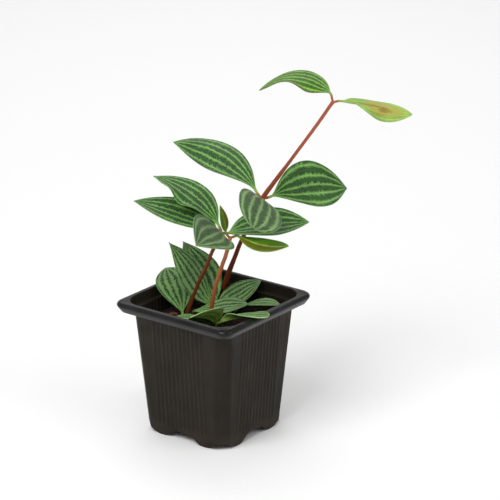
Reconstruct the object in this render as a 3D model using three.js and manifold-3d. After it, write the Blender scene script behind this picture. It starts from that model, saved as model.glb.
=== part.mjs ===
// A potted peperomia: a square ribbed nursery pot of potting mix with three slender stems,
// whorls of striped leaves along them and a rosette of nine leaves at the soil.
// Millimetres, +Z up. The pot stands on z = 0 with its sides square to X and Y.
import * as THREE from 'three';
import Module from 'manifold-3d';

const wasm = await Module();
wasm.setup();

const DEG = Math.PI / 180;

// Driving dimensions
const POT = {
  height: 104,          // to the top of the rim
  base: 38.1,           // half width of the wall, carried down to z = 0
  slope: 0.0765,        // the wall leans out by this much for each millimetre of height
  chamfer: 8.1,         // leg of the flat corner
  wall: 1.2,
  ribPitch: 4,
  ribCount: 12,         // on each side
  ribDepth: 0.45,
  ribFrom: 8.5,
  ribTo: 94.2,
  ledge: 96,            // the wall steps out to the collar here
  collar: 47,           // half width inside the collar, at the ledge
  opening: 48.2,        // half width of the opening, at the top
  openingCorner: 14,    // radius of the opening's corners
  rim: 53.8,            // widest half width of the rim
  rimWidestAt: 100.8,
  skirt: 51.1,          // half width of the rim's lower edge
  rimCorner: 8.3,
  floorUnder: 6.6,
  floorTop: 8.2,
  drainRadius: 4.5,
  drainAt: 22,
};
const SOIL = { level: 84.6, lump: 0.8, gap: 0.35 };
const STEM_DEPTH = 12;    // how far a stem stands in the soil
const PETIOLE_DEPTH = 8;
const HOLE_GAP = 0.35;
const SEAT = 0.32;        // gap between a leaf stalk and the stem it grows from
const BLADE = { edge: 0.3, middle: 0.45 };   // half thickness of a blade

// Stems
// centre line and radius, from the soil up
const STEMS = {
  stem_left: {
    color: 0x6b2f17,
    points: [[-24.4, -1.5, 85], [-21, 0.4, 96.5], [-18.2, 1.8, 104.7], [-15.5, 3.3, 112.9],
      [-12.1, 5.1, 121.1], [-9.3, 6.5, 129.3], [-6.6, 7.8, 137], [-2.2, 10.1, 147], [-0.7, 10.9, 150.6]],
    radii: [1.5, 1.5, 1.4, 1.4, 1.4, 1.4, 1.4, 1.5, 1.8],
  },
  stem_middle: {
    color: 0xa5603c,
    points: [[0.5, -5.6, 85], [1.1, -3.4, 98.7], [1.7, -1.8, 106.4], [2.4, -0.2, 114],
      [3.6, 2, 121.6], [4.9, 4.5, 129], [6.3, 7.1, 136.5], [7.2, 10, 146.6], [7.4, 10.6, 149]],
    radii: [1.6, 1.6, 1.5, 1.5, 1.5, 1.5, 1.5, 1.5, 1.7],
  },
  stem_tall: {
    color: 0x7a3a22,
    points: [[-25.3, 37.6, 85], [-21.7, 39.7, 93.8], [-18, 40.7, 105.3], [-11.5, 42, 122.5],
      [-6.8, 42.6, 134.2], [4.6, 45.7, 160], [9.2, 47.4, 169.8], [18.9, 54, 186.9], [27.2, 59.7, 201.2],
      [42.8, 71.5, 229.2], [49.7, 76.8, 242.4], [51.6, 78.3, 245.8]],
    radii: [2.3, 2.2, 2.0, 1.7, 1.6, 1.6, 1.9, 1.6, 1.3, 1.3, 1.3, 1.5],
  },
};
// where the leaves join: a point on the centre line and the radius of the stem there
const NODES = {
  left: { stem: 'stem_left', at: [-0.7, 10.9, 150.6], radius: 1.8, axis: [0.36, 0.19, 0.91], top: true },
  middle: { stem: 'stem_middle', at: [7.4, 10.6, 149], radius: 1.7, axis: [0.08, 0.24, 0.97], top: true },
  tall: { stem: 'stem_tall', at: [9.2, 47.4, 169.8], radius: 1.9, axis: [0.47, 0.27, 0.84], top: false },
  tip: { stem: 'stem_tall', at: [51.6, 78.3, 245.8], radius: 1.5, axis: [0.45, 0.35, 0.82], top: true },
};

// Leaves
// root: where the blade begins. heading: compass direction of the midrib from +X towards +Y;
// rise: its slope up; bend and swing: how much rise and heading change by the tip.
// roll, twist: tilt about the midrib at the root, and how it changes by the tip.
// p, q: how the outline fills out after the root and before the tip.
// fold, curl: upward fold at the midrib and further curl to the margin. All angles in degrees.
// cup: extra fold near the root. wave, waves, phase: ruffle of the left margin.
// out: heading and rise of the stalk where it leaves the stem; closer: how far it is seated in.
function leaf(root, heading, rise, bend, swing, roll, twist, length, width, p, q, fold, curl, more) {
  return { root, heading, rise, bend, swing, roll, twist, length, width, p, q, fold, curl,
    cup: 0, wave: 0, waves: 1, phase: 0, stalk: 0.9, closer: 0.2, ...more };
}
const DARK = 0x3c5a33;
const PALE = 0x7d9c62;
const OLIVE = 0x6f7a2c;
const LEAVES = {
  leaf_top_left: leaf([49.5, 76.7, 253.2], 204, 44, -87, 20, -18, 25, 57.5, 30, 0.8, 1.1, -2, -1,
    { wave: 2.6, waves: 1.35, phase: 2.6, node: 'tip', out: [175, 62], closer: 1.05, stalk: 0.75,
      color: DARK }),
  leaf_top_right: leaf([56.3, 81.9, 246.6], 49, -11, -6, -3, -6, 60, 56, 22, 0.94, 0.84, -23, -7,
    { cup: 70, node: 'tip', out: [20, 12], closer: 0.85, stalk: 0.75, color: 0x8f9c3a }),
  leaf_upper_left: leaf([5.1, 45.4, 175.7], 158, 37, -41, 45, -22, -4.5, 85, 31, 1.32, 1.01, -12, -8.5,
    { node: 'tall', out: [200, 45], closer: 0.1, color: DARK }),
  leaf_upper_right: leaf([13.5, 54.3, 171.1], 73, 12, -37, 1, 44, 0, 73, 41, 1.2, 1.04, 3, 3,
    { node: 'tall', out: [70, 0], color: DARK }),
  leaf_upper_front: leaf([13.5, 41.7, 171.7], 310, 20, -38, -17, -36, -4, 69, 39, 0.77, 0.5, 2, 2,
    { node: 'tall', out: [300, 8], color: 0x5d6a52 }),
  leaf_middle_upper_left: leaf([-4, 11.5, 156], 162, 40, -30, 43, -1, -5.5, 67, 33, 1.4, 1.28, 2, 0,
    { wave: 2.4, waves: 2.2, phase: 4.08, node: 'left', out: [170, 70], closer: 0.75, color: DARK }),
  leaf_middle_left: leaf([-6.5, 11.4, 153], 195, 18, -13, 2, -13, -3, 68, 32, 0.77, 1.03, 6, 6,
    { node: 'left', out: [172, -5], closer: 0.1, color: DARK }),
  leaf_middle_front: leaf([2.5, 6.5, 153.2], 292, 16, -11, 0, -39, 2, 68, 37.5, 0.71, 1.07, 8, 8,
    { node: 'left', out: [300, 5], closer: 0.3, color: 0x5d6a52 }),
  leaf_middle_right: leaf([6.7, 10.2, 152.7], 53, 11, -13, -11, 8, 22, 61, 34, 0.82, 0.97, 7, 7,
    { node: 'left', out: [-8, 22], color: DARK }),
  leaf_young_upright: leaf([6, 7.1, 154.7], 184, 79, -5, 4, -6, 5, 20, 9, 0.66, 1, 4, 5,
    { node: 'middle', out: [255, 40], closer: 0.7, stalk: 0.75, color: OLIVE }),
  leaf_young_right: leaf([14.5, 12.3, 150.9], 7, -18, 38, -4, 9, 4, 44, 18, 0.87, 0.82, 2, 3,
    { node: 'middle', out: [8, 18], closer: 0.65, stalk: 0.8, color: OLIVE }),
  base_leaf_left: leaf([-26.3, -4.6, 86], 159, 71, -55, -8, 2, -17, 40.5, 29, 1.15, 0.88, 6, 6,
    { foot: [-25.7, -5.6], color: PALE }),
  base_leaf_back_left: leaf([-17.3, 17.7, 88], 216, 68, -20, -3, -24, -22, 58.5, 27.5, 0.85, 1.25, -8, -4,
    { foot: [-16.9, 18.2], color: PALE }),
  base_leaf_back: leaf([-18.5, 26.1, 86.4], 168, 55, -20, -1, -5, 0, 55.5, 30, 1, 1.15, 8, 8,
    { foot: [-17.5, 26], color: PALE }),
  base_leaf_back_right: leaf([-13, 23, 87.5], 44, 27, 5, -1, 17, 3, 36.5, 25, 0.6, 0.87, 4, 2,
    { foot: [-14.8, 21.9], color: PALE }),
  base_leaf_middle: leaf([-21, 4, 86.2], 15, 17, -5, 4, 14, 1, 44, 22, 1, 0.88, 6, 3,
    { foot: [-23.6, 3.6], color: PALE }),
  base_leaf_right: leaf([6.6, 23.8, 89.8], 3, 20.5, -13, -1, -1, 4, 38.5, 17.5, 1.25, 1.2, 18, 0,
    { foot: [1.5, 23.2], color: PALE }),
  base_leaf_front: leaf([5, -6, 86], 290, 36, -24, -20, 33, -6, 42, 27, 0.57, 1.05, 10, 10,
    { foot: [4.5, -3.9], color: 0x47633a }),
  base_leaf_front_right: leaf([17.6, -15.4, 92], 0.6, 28, -18, -4, -30, 37, 48.7, 18, 0.84, 0.53, 8, 1,
    { cup: 63, foot: [11, -10.6], color: 0x6f8f55 }),
  base_leaf_front_left: leaf([-6, -7, 87], 237, 13, -6, 0, 0, 0, 21, 12, 0.7, 1, 6, 4,
    { foot: [-4.2, -4.2], stalk: 0.9, color: 0x47633a }),
};

// Helpers
function material(color, roughness) {
  return new THREE.MeshStandardMaterial({ color, roughness, metalness: 0 });
}

function geometryFrom(positions, triangles) {
  const geometry = new THREE.BufferGeometry();
  geometry.setAttribute('position', new THREE.Float32BufferAttribute(positions, 3));
  geometry.setIndex(triangles);
  geometry.computeVertexNormals();
  return geometry;
}

function toManifold(geometry) {
  return new wasm.Manifold(new wasm.Mesh({
    numProp: 3,
    vertProperties: new Float32Array(geometry.attributes.position.array),
    triVerts: new Uint32Array(geometry.index.array),
  }));
}

function fromManifold(solid) {
  const mesh = solid.getMesh();
  const positions = [];
  for (let i = 0; i < mesh.vertProperties.length; i += mesh.numProp) {
    positions.push(mesh.vertProperties[i], mesh.vertProperties[i + 1], mesh.vertProperties[i + 2]);
  }
  return geometryFrom(positions, Array.from(mesh.triVerts));
}

// A closed body from rings with the same number of points, capped flat at both ends.
// Seen along the body, from its first ring to its last, each ring runs clockwise.
function loft(rings) {
  const positions = [];
  const triangles = [];
  const n = rings[0].length;
  rings.forEach((ring) => ring.forEach((p) => positions.push(p.x, p.y, p.z)));
  for (let k = 0; k + 1 < rings.length; k += 1) {
    for (let i = 0; i < n; i += 1) {
      const a = k * n + i;
      const b = k * n + ((i + 1) % n);
      triangles.push(a, b, b + n, a, b + n, a + n);
    }
  }
  const last = (rings.length - 1) * n;
  for (let i = 1; i + 1 < n; i += 1) {
    triangles.push(0, i + 1, i);
    triangles.push(last, last + i, last + i + 1);
  }
  return geometryFrom(positions, triangles);
}

// Stems
function stemPath(stem) {
  const points = stem.points.map((p) => new THREE.Vector3(...p));
  const down = points[0].clone().sub(points[1]).normalize();
  const buried = points[0].clone().addScaledVector(down, STEM_DEPTH / Math.abs(down.z));
  return { points: [buried, ...points], radii: [stem.radii[0], ...stem.radii] };
}

// the whole stem, or only its first spans as the cutter for its hole
function stemGeometry(stem, grow, fromBelow, only) {
  const { points, radii } = stemPath(stem);
  const curve = new THREE.CatmullRomCurve3(points, false, 'centripetal');
  const spans = points.length - 1;
  const rings = [];
  const sides = 8;
  const up = new THREE.Vector3(0.62, -0.78, 0);
  const ringAt = (center, tangent, radius) => {
    const side = new THREE.Vector3().crossVectors(up, tangent).normalize();
    const front = new THREE.Vector3().crossVectors(tangent, side);
    const ring = [];
    for (let i = 0; i < sides; i += 1) {
      const angle = (i / sides) * 2 * Math.PI;
      ring.push(center.clone()
        .addScaledVector(side, radius * Math.cos(angle))
        .addScaledVector(front, radius * Math.sin(angle)));
    }
    return ring;
  };
  for (let k = 0; k <= spans; k += 1) {
    const center = curve.getPoint(k / spans);
    const tangent = curve.getTangent(k / spans).normalize();
    if (k > only) break;
    if (k === 0) center.addScaledVector(tangent, -fromBelow);
    rings.push(ringAt(center, tangent, radii[k] + grow));
    if (k > 0 && k < Math.min(spans, only)) {
      const t = (k + 0.5) / spans;
      rings.push(ringAt(curve.getPoint(t), curve.getTangent(t).normalize(),
        (radii[k] + radii[k + 1]) / 2 + grow));
    }
  }
  const end = curve.getPoint(1);
  const tangent = curve.getTangent(1).normalize();
  const radius = radii[spans];
  if (only === Infinity) {
    rings.push(ringAt(end.addScaledVector(tangent, 0.8), tangent, radius * 0.55));
  }
  return loft(rings);
}

// Leaves
const STEPS = 48;

function midrib(l) {
  const rows = [];
  const position = new THREE.Vector3(...l.root);
  for (let i = 0; i <= STEPS; i += 1) {
    const u = i / STEPS;
    const rise = (l.rise + l.bend * u) * DEG;
    const heading = (l.heading + l.swing * u) * DEG;
    const roll = (l.roll + l.twist * u) * DEG;
    const tangent = new THREE.Vector3(Math.cos(rise) * Math.cos(heading),
      Math.cos(rise) * Math.sin(heading), Math.sin(rise));
    const level = new THREE.Vector3(-Math.sin(heading), Math.cos(heading), 0);
    const over = new THREE.Vector3(-Math.sin(rise) * Math.cos(heading),
      -Math.sin(rise) * Math.sin(heading), Math.cos(rise));
    const side = level.clone().multiplyScalar(Math.cos(roll)).addScaledVector(over, Math.sin(roll));
    const normal = over.clone().multiplyScalar(Math.cos(roll)).addScaledVector(level, -Math.sin(roll));
    rows.push({ u, position: position.clone(), tangent, side, normal });
    const half = (i + 0.5) / STEPS;
    const r = (l.rise + l.bend * half) * DEG;
    const h = (l.heading + l.swing * half) * DEG;
    position.add(new THREE.Vector3(Math.cos(r) * Math.cos(h), Math.cos(r) * Math.sin(h), Math.sin(r))
      .multiplyScalar(l.length / STEPS));
  }
  return rows;
}

function halfWidth(l, u) {
  const m = l.p / (l.p + l.q);
  return (l.width / 2) * (u ** l.p * (1 - u) ** l.q) / (m ** l.p * (1 - m) ** l.q);
}

function smooth(x) {
  const t = Math.min(1, Math.max(0, x));
  return t * t * (3 - 2 * t);
}

// One ring of a leaf: the upper face from the left margin to the right, then the lower face back.
function leafRing(l, row, half, middle, fold, curl, wave, columns) {
  const upper = [];
  const lower = [];
  for (let j = 0; j <= columns; j += 1) {
    const v = 1 - (2 * j) / columns;
    const a = Math.abs(v);
    const k = Math.abs(curl) > 1e-4 ? curl : 1e-4;
    const y = Math.sign(v) * (Math.sin(fold + k * a) - Math.sin(fold)) / k;
    const z = (Math.cos(fold) - Math.cos(fold + k * a)) / k;
    const ruffle = wave * Math.max(v, 0) ** 3;
    const across = v * half / l.stalk;
    const rib = (middle - BLADE.middle) * Math.exp(-across * across);
    const thick = BLADE.edge + (BLADE.middle - BLADE.edge) * (1 - v * v) + rib;
    const center = row.position.clone()
      .addScaledVector(row.side, half * y)
      .addScaledVector(row.normal, half * z + ruffle);
    const tilt = Math.sign(v) * (fold + k * a);
    const out = row.normal.clone().multiplyScalar(Math.cos(tilt)).addScaledVector(row.side, -Math.sin(tilt));
    upper.push(center.clone().addScaledVector(out, thick));
    lower.push(center.clone().addScaledVector(out, -thick));
  }
  return [...upper, ...lower.reverse()];
}

// distance from a joint to the first ring of a leaf stalk that leaves it in a direction
function stalkStart(node, direction, radius) {
  const cos = Math.abs(direction.dot(new THREE.Vector3(...node.axis).normalize()));
  const sin = Math.sqrt(1 - cos * cos);
  const beside = (node.radius + SEAT + radius * cos) / Math.max(sin, 0.05);
  const above = node.top ? (0.8 + SEAT + radius * sin) / Math.max(cos, 0.05) : 1e9;
  return Math.min(beside, above);
}

// The stalk is a cubic curve from the stem or the soil to the root of the blade.
function stalkCurve(l) {
  const root = new THREE.Vector3(...l.root);
  const tangent = midrib(l)[0].tangent;
  if (l.foot) {
    const foot = new THREE.Vector3(l.foot[0], l.foot[1], SOIL.level - PETIOLE_DEPTH);
    const top = new THREE.Vector3(l.foot[0], l.foot[1], SOIL.level);
    const reach = top.distanceTo(root) * 0.45;
    return new THREE.CubicBezierCurve3(foot, foot.clone().setZ(SOIL.level + reach * 0.3),
      root.clone().addScaledVector(tangent, -reach), root);
  }
  const node = NODES[l.node];
  const [heading, rise] = l.out;
  const direction = new THREE.Vector3(Math.cos(rise * DEG) * Math.cos(heading * DEG),
    Math.cos(rise * DEG) * Math.sin(heading * DEG), Math.sin(rise * DEG));
  const start = new THREE.Vector3(...node.at)
    .addScaledVector(direction, stalkStart(node, direction, l.stalk) - l.closer);
  const reach = start.distanceTo(root) * 0.4;
  return new THREE.CubicBezierCurve3(start, start.clone().addScaledVector(direction, reach),
    root.clone().addScaledVector(tangent, -reach), root);
}

// Rows along the stalk: the ring turns from the blade's own side direction without twisting.
function stalkRows(l, count) {
  const curve = stalkCurve(l);
  const first = midrib(l)[0];
  const rows = [];
  let side = first.side.clone();
  for (let i = count; i >= 0; i -= 1) {
    const t = i / count;
    const tangent = curve.getTangent(t).normalize();
    side = side.clone().addScaledVector(tangent, -side.dot(tangent)).normalize();
    const normal = new THREE.Vector3().crossVectors(tangent, side);
    rows.unshift({ position: curve.getPoint(t), tangent, side: side.clone(), normal });
  }
  return rows;
}

const BLADE_ROWS = [2, 5, 10, 15, 20, 25, 30, 35, 40, 44, 47];
const SMALL_ROWS = [3, 8, 15, 23, 31, 38, 43, 47];

function leafGeometry(l) {
  const small = l.width < 17;
  const columns = small ? 4 : 6;
  const rows = midrib(l);
  const stalk = stalkRows(l, l.foot ? 4 : 3);
  const rings = stalk.slice(0, -1).map((row) => leafRing(l, row, l.stalk, l.stalk, 0, 0, 0, columns));
  (small ? SMALL_ROWS : BLADE_ROWS).forEach((index) => {
    const row = rows[index];
    const u = row.u;
    const taper = 1 - smooth(u / 0.16);
    const half = Math.max(Math.hypot(halfWidth(l, u), l.stalk * taper), 0.4);
    const middle = BLADE.middle + (l.stalk - BLADE.middle) * (1 - smooth(u / 0.4));
    const opened = 1 - taper;
    const fold = (l.fold + l.cup * (1 - u) ** 3) * DEG * opened;
    const wave = l.wave * Math.sin(2 * Math.PI * l.waves * u + l.phase) * (halfWidth(l, u) / (l.width / 2));
    rings.push(leafRing(l, row, half, middle, fold, l.curl * DEG * opened, wave, columns));
  });
  return loft(rings);
}

// the plain hole a stalk stands in
function holeGeometry(l) {
  const curve = stalkCurve(l);
  const rings = [];
  const radius = l.stalk + HOLE_GAP;
  const ringAt = (center, tangent) => {
    const side = new THREE.Vector3(0.6, -0.8, 0).cross(tangent).normalize();
    const front = new THREE.Vector3().crossVectors(tangent, side);
    const ring = [];
    for (let i = 0; i < 8; i += 1) {
      const angle = ((i + 0.5) / 8) * 2 * Math.PI;
      ring.push(center.clone()
        .addScaledVector(side, (radius / Math.cos(Math.PI / 8)) * Math.cos(angle))
        .addScaledVector(front, (radius / Math.cos(Math.PI / 8)) * Math.sin(angle)));
    }
    return ring;
  };
  for (let i = 0; i <= 4; i += 1) {
    const t = i / 4;
    const center = curve.getPoint(t);
    if (i === 0) center.z -= 0.4;
    rings.push(ringAt(center, curve.getTangent(t).normalize()));
  }
  const end = curve.getPoint(1);
  const tangent = curve.getTangent(1).normalize();
  rings.push(ringAt(end.addScaledVector(tangent, 1), tangent));
  return loft(rings);
}

// Pot
function wallHalf(z) {
  return POT.base + POT.slope * z;
}

// Each ring runs once round, seen from above anticlockwise, from the -Y end of the +X side.
function aroundSides(sidePoints) {
  const ring = [];
  for (let k = 0; k < 4; k += 1) {
    const turn = (k * Math.PI) / 2;
    const c = Math.round(Math.cos(turn));
    const s = Math.round(Math.sin(turn));
    sidePoints.forEach(([x, y, z]) => ring.push([c * x - s * y, s * x + c * y, z]));
  }
  return ring;
}

// the scalloped lower edge of half a side: distance from the side's middle, and height
const FOOT_EDGE = [[0, 6], [5, 6], [7, 5.8], [10, 4.4], [12.5, 2.3], [15.3, 0.7], [18, 0], [21, 0],
  [24, 0.5], [26.6, 1.5]];
const CORNER_NOTCH = 4.4;   // height of the lower edge at a corner

function footRing(inset, height) {
  const side = [];
  const edgeAt = (s, z) => {
    const level = height === undefined ? z : height;
    side.push([wallHalf(level) - inset, s, level]);
  };
  const flat = POT.base - POT.chamfer - inset * 0.41;
  edgeAt(-flat, 3);
  FOOT_EDGE.slice(1).reverse().forEach(([s, z]) => edgeAt(-s, z));
  FOOT_EDGE.forEach(([s, z]) => edgeAt(s, z));
  edgeAt(flat, 3);
  const level = height === undefined ? CORNER_NOTCH : height;
  const corner = wallHalf(level) - POT.chamfer / 2 - inset * 0.71;
  side.push([corner, corner, level]);
  return aroundSides(side);
}

function plainRing(z, half, flat) {
  return aroundSides([[half, -flat, z], [half, flat, z]]);
}

function ribRing(z, half, flat, depth) {
  const side = [];
  const pitch = POT.ribPitch;
  side.push([half, -flat, z]);
  for (let i = 0; i < POT.ribCount; i += 1) {
    const s = (i - (POT.ribCount - 1) / 2) * pitch;
    side.push([half, s - 1.25, z], [half + depth, s - 0.6, z]);
    side.push([half + depth, s + 0.6, z], [half, s + 1.25, z]);
  }
  side.push([half, flat, z]);
  return aroundSides(side);
}

function roundedRing(z, half, radius) {
  const side = [];
  const corner = half - radius;
  for (let i = 0; i <= 4; i += 1) {
    const angle = (-45 + (i / 4) * 45) * DEG;
    side.push([corner + radius * Math.cos(angle), -corner + radius * Math.sin(angle), z]);
  }
  for (let i = 0; i < 4; i += 1) {
    const angle = (i / 4) * 45 * DEG;
    side.push([corner + radius * Math.cos(angle), corner + radius * Math.sin(angle), z]);
  }
  return aroundSides(side);
}

// Joins rings of unlike counts into one closed skin, from the middle of the underside, out, up,
// over and down again to the middle of the floor.
function shell(rings) {
  const positions = [];
  const triangles = [];
  const starts = [];
  const angles = [];
  rings.forEach((ring) => {
    starts.push(positions.length / 3);
    ring.forEach((p) => positions.push(...p));
    let before = -Math.PI / 4 - 0.2;
    angles.push(ring.map(([x, y]) => {
      let angle = Math.atan2(y, x);
      while (angle < before - 1e-6) angle += 2 * Math.PI;
      before = angle;
      return angle;
    }));
  });
  for (let k = 0; k + 1 < rings.length; k += 1) {
    const a = angles[k];
    const b = angles[k + 1];
    const na = a.length;
    const nb = b.length;
    let i = 0;
    let j = 0;
    if (na === nb) {
      for (; i < na; i += 1) {
        const next = (i + 1) % na;
        triangles.push(starts[k] + i, starts[k] + next, starts[k + 1] + next);
        triangles.push(starts[k] + i, starts[k + 1] + next, starts[k + 1] + i);
      }
      j = nb;
    }
    while (i < na || j < nb) {
      const nextA = i + 1 < na ? a[i + 1] : a[0] + 2 * Math.PI + (i + 1 - na) * 9;
      const nextB = j + 1 < nb ? b[j + 1] : b[0] + 2 * Math.PI + (j + 1 - nb) * 9;
      const ia = starts[k] + (i % na);
      const ib = starts[k + 1] + (j % nb);
      if (j >= nb || (i < na && nextA <= nextB)) {
        triangles.push(ia, starts[k] + ((i + 1) % na), ib);
        i += 1;
      } else {
        triangles.push(ia, starts[k + 1] + ((j + 1) % nb), ib);
        j += 1;
      }
    }
  }
  const fan = (k, level, up) => {
    const center = positions.length / 3;
    positions.push(0, 0, level);
    const n = rings[k].length;
    for (let i = 0; i < n; i += 1) {
      const a = starts[k] + i;
      const b = starts[k] + ((i + 1) % n);
      if (up) triangles.push(a, b, center);
      else triangles.push(center, b, a);
    }
  };
  fan(0, rings[0][0][2], false);
  fan(rings.length - 1, rings[rings.length - 1][0][2], true);
  return geometryFrom(positions, triangles);
}

function potGeometry() {
  const wall = POT.wall;
  const flat = (z) => wallHalf(z) - POT.chamfer;
  const inner = (z) => wallHalf(z) - wall;
  const innerFlat = (z) => inner(z) - (POT.chamfer - wall * 0.586);
  const rings = [
    footRing(wall, POT.floorUnder),
    footRing(wall),
    footRing(0),
    footRing(0, POT.ribFrom - 0.4),
    ribRing(POT.ribFrom + 0.6, wallHalf(POT.ribFrom + 0.6), flat(POT.ribFrom + 0.6), POT.ribDepth),
    ribRing(POT.ribTo, wallHalf(POT.ribTo), flat(POT.ribTo), POT.ribDepth),
    roundedRing(POT.ledge, 48.6, 5),
    roundedRing(POT.ledge, POT.skirt, 7.8),
    roundedRing(POT.rimWidestAt, POT.rim, POT.rimCorner),
    roundedRing(POT.height - 1.6, POT.rim - 0.4, POT.rimCorner),
    roundedRing(POT.height - 0.5, POT.rim - 1.7, POT.rimCorner - 0.8),
    roundedRing(POT.height, POT.rim - 3.2, POT.rimCorner - 1.8),
    roundedRing(POT.height, POT.opening + 0.7, POT.openingCorner + 0.4),
    roundedRing(POT.height - 0.6, POT.opening, POT.openingCorner),
    roundedRing(POT.ledge + 0.4, POT.collar, POT.openingCorner - 0.5),
    roundedRing(POT.ledge, POT.collar - 0.4, POT.openingCorner - 0.8),
    plainRing(POT.ledge - 0.3, inner(POT.ledge - 0.3), innerFlat(POT.ledge - 0.3)),
    plainRing(POT.floorTop, inner(POT.floorTop), innerFlat(POT.floorTop)),
  ];
  let solid = toManifold(shell(rings));
  const drain = new THREE.CylinderGeometry(POT.drainRadius, POT.drainRadius, 12, 12).rotateX(Math.PI / 2);
  [[1, 1], [-1, 1], [-1, -1], [1, -1]].forEach(([x, y]) => {
    const plug = roundSolid(drain.clone().translate(x * POT.drainAt, y * POT.drainAt, POT.floorUnder));
    solid = solid.subtract(plug);
  });
  return fromManifold(solid);
}

// a closed three.js primitive with its seam vertices merged
function roundSolid(geometry) {
  const seen = new Map();
  const positions = [];
  const map = [];
  const p = geometry.attributes.position;
  for (let i = 0; i < p.count; i += 1) {
    const key = `${p.getX(i).toFixed(4)},${p.getY(i).toFixed(4)},${p.getZ(i).toFixed(4)}`;
    if (!seen.has(key)) {
      seen.set(key, positions.length / 3);
      positions.push(p.getX(i), p.getY(i), p.getZ(i));
    }
    map.push(seen.get(key));
  }
  const triangles = [];
  const index = geometry.index.array;
  for (let i = 0; i < index.length; i += 3) {
    const [a, b, c] = [map[index[i]], map[index[i + 1]], map[index[i + 2]]];
    if (a !== b && b !== c && c !== a) triangles.push(a, b, c);
  }
  return toManifold(geometryFrom(positions, triangles));
}

// Soil
function soilHeight(x, y) {
  return SOIL.level + SOIL.lump * (0.5 * Math.sin(0.31 * x + 0.9) * Math.cos(0.27 * y - 0.6)
    + 0.35 * Math.sin(0.83 * x - 0.52 * y + 2) + 0.25 * Math.cos(0.44 * x + 1.02 * y));
}

function soilGeometry() {
  const bottom = POT.floorTop + SOIL.gap;
  const inset = POT.wall + POT.ribDepth + SOIL.gap;
  // a slab with a lumpy top, wider than the pot
  const cells = 12;
  const reach = 50;
  const positions = [];
  const triangles = [];
  for (let j = 0; j <= cells; j += 1) {
    for (let i = 0; i <= cells; i += 1) {
      const x = -reach + (2 * reach * i) / cells;
      const y = -reach + (2 * reach * j) / cells;
      positions.push(x, y, soilHeight(x, y));
    }
  }
  const n = cells + 1;
  for (let j = 0; j < cells; j += 1) {
    for (let i = 0; i < cells; i += 1) {
      const a = j * n + i;
      triangles.push(a, a + 1, a + n + 1, a, a + n + 1, a + n);
    }
  }
  const rim = [];
  for (let i = 0; i < cells; i += 1) rim.push(i);
  for (let j = 0; j < cells; j += 1) rim.push(j * n + cells);
  for (let i = cells; i > 0; i -= 1) rim.push(cells * n + i);
  for (let j = cells; j > 0; j -= 1) rim.push(j * n);
  const base = positions.length / 3;
  rim.forEach((index) => positions.push(positions[3 * index], positions[3 * index + 1], 0));
  const center = positions.length / 3;
  positions.push(0, 0, 0);
  rim.forEach((index, k) => {
    const next = (k + 1) % rim.length;
    triangles.push(index, base + k, base + next, index, base + next, rim[next]);
    triangles.push(base + k, center, base + next);
  });
  const slab = toManifold(geometryFrom(positions, triangles));
  // the tapering inside of the pot, kept clear of its ribs and flat corners
  const ringAt = (z) => {
    const half = wallHalf(z) - inset;
    const flat = half - (POT.chamfer - (POT.ribDepth + 0.586 * (POT.wall + SOIL.gap)));
    return aroundSides([[half, -flat, z], [half, flat, z]]).map((p) => new THREE.Vector3(...p));
  };
  const inside = toManifold(loft([ringAt(bottom), ringAt(POT.ribTo - 2)]));
  let soil = slab.intersect(inside);
  Object.values(STEMS).forEach((stem) => {
    soil = soil.subtract(toManifold(stemGeometry(stem, HOLE_GAP, 0.4, 2)));
  });
  Object.values(LEAVES).filter((l) => l.foot).forEach((l) => {
    soil = soil.subtract(toManifold(holeGeometry(l)));
  });
  return fromManifold(soil);
}

// Assembly
const plant = new THREE.Group();

function add(name, geometry, color, roughness) {
  const mesh = new THREE.Mesh(geometry, material(color, roughness));
  mesh.name = name;
  plant.add(mesh);
}

add('pot', potGeometry(), 0x2f2d2b, 0.5);
add('soil', soilGeometry(), 0x241a14, 1);
Object.entries(STEMS).forEach(([name, stem]) => {
  add(name, stemGeometry(stem, 0, 0, Infinity), stem.color, 0.55);
});
Object.entries(LEAVES).forEach(([name, l]) => add(name, leafGeometry(l), l.color, 0.45));

// the origin is under the middle of the whole plant, on the surface that the pot stands on
const box = new THREE.Box3().setFromObject(plant);
plant.position.set(-(box.min.x + box.max.x) / 2, -(box.min.y + box.max.y) / 2, 0);
plant.updateMatrixWorld(true);

const whole = new THREE.Group();
whole.add(plant);

export default whole;
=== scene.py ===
import math

import bmesh
import bpy
import numpy as np
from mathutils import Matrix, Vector, noise


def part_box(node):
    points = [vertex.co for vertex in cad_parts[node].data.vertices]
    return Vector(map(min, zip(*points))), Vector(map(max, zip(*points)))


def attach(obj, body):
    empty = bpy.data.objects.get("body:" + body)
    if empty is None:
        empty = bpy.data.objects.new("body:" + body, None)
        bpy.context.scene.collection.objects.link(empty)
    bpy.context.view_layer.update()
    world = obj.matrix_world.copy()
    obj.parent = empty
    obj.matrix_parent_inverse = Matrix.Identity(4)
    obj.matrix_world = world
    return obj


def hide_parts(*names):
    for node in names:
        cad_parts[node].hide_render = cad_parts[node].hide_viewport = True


bl_info = {
    "name": "Potted peperomia",
    "version": (1, 0, 0),
    "blender": (4, 5, 0),
    "location": "View3D > Sidebar > Peperomia",
    "description": "Builds a young striped peperomia in a square ribbed nursery pot",
    "category": "Object",
}

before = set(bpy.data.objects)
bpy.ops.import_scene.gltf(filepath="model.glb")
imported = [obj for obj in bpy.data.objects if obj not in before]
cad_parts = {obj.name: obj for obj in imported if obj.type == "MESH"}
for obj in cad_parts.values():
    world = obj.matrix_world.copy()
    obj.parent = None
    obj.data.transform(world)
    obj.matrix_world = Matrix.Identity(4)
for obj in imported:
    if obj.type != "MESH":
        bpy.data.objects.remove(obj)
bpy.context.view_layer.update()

MM = 0.001
POT_LOW, POT_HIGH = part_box("pot")
MIDDLE = np.array([(POT_LOW.x + POT_HIGH.x) / 2, (POT_LOW.y + POT_HIGH.y) / 2, 0.0])

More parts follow.
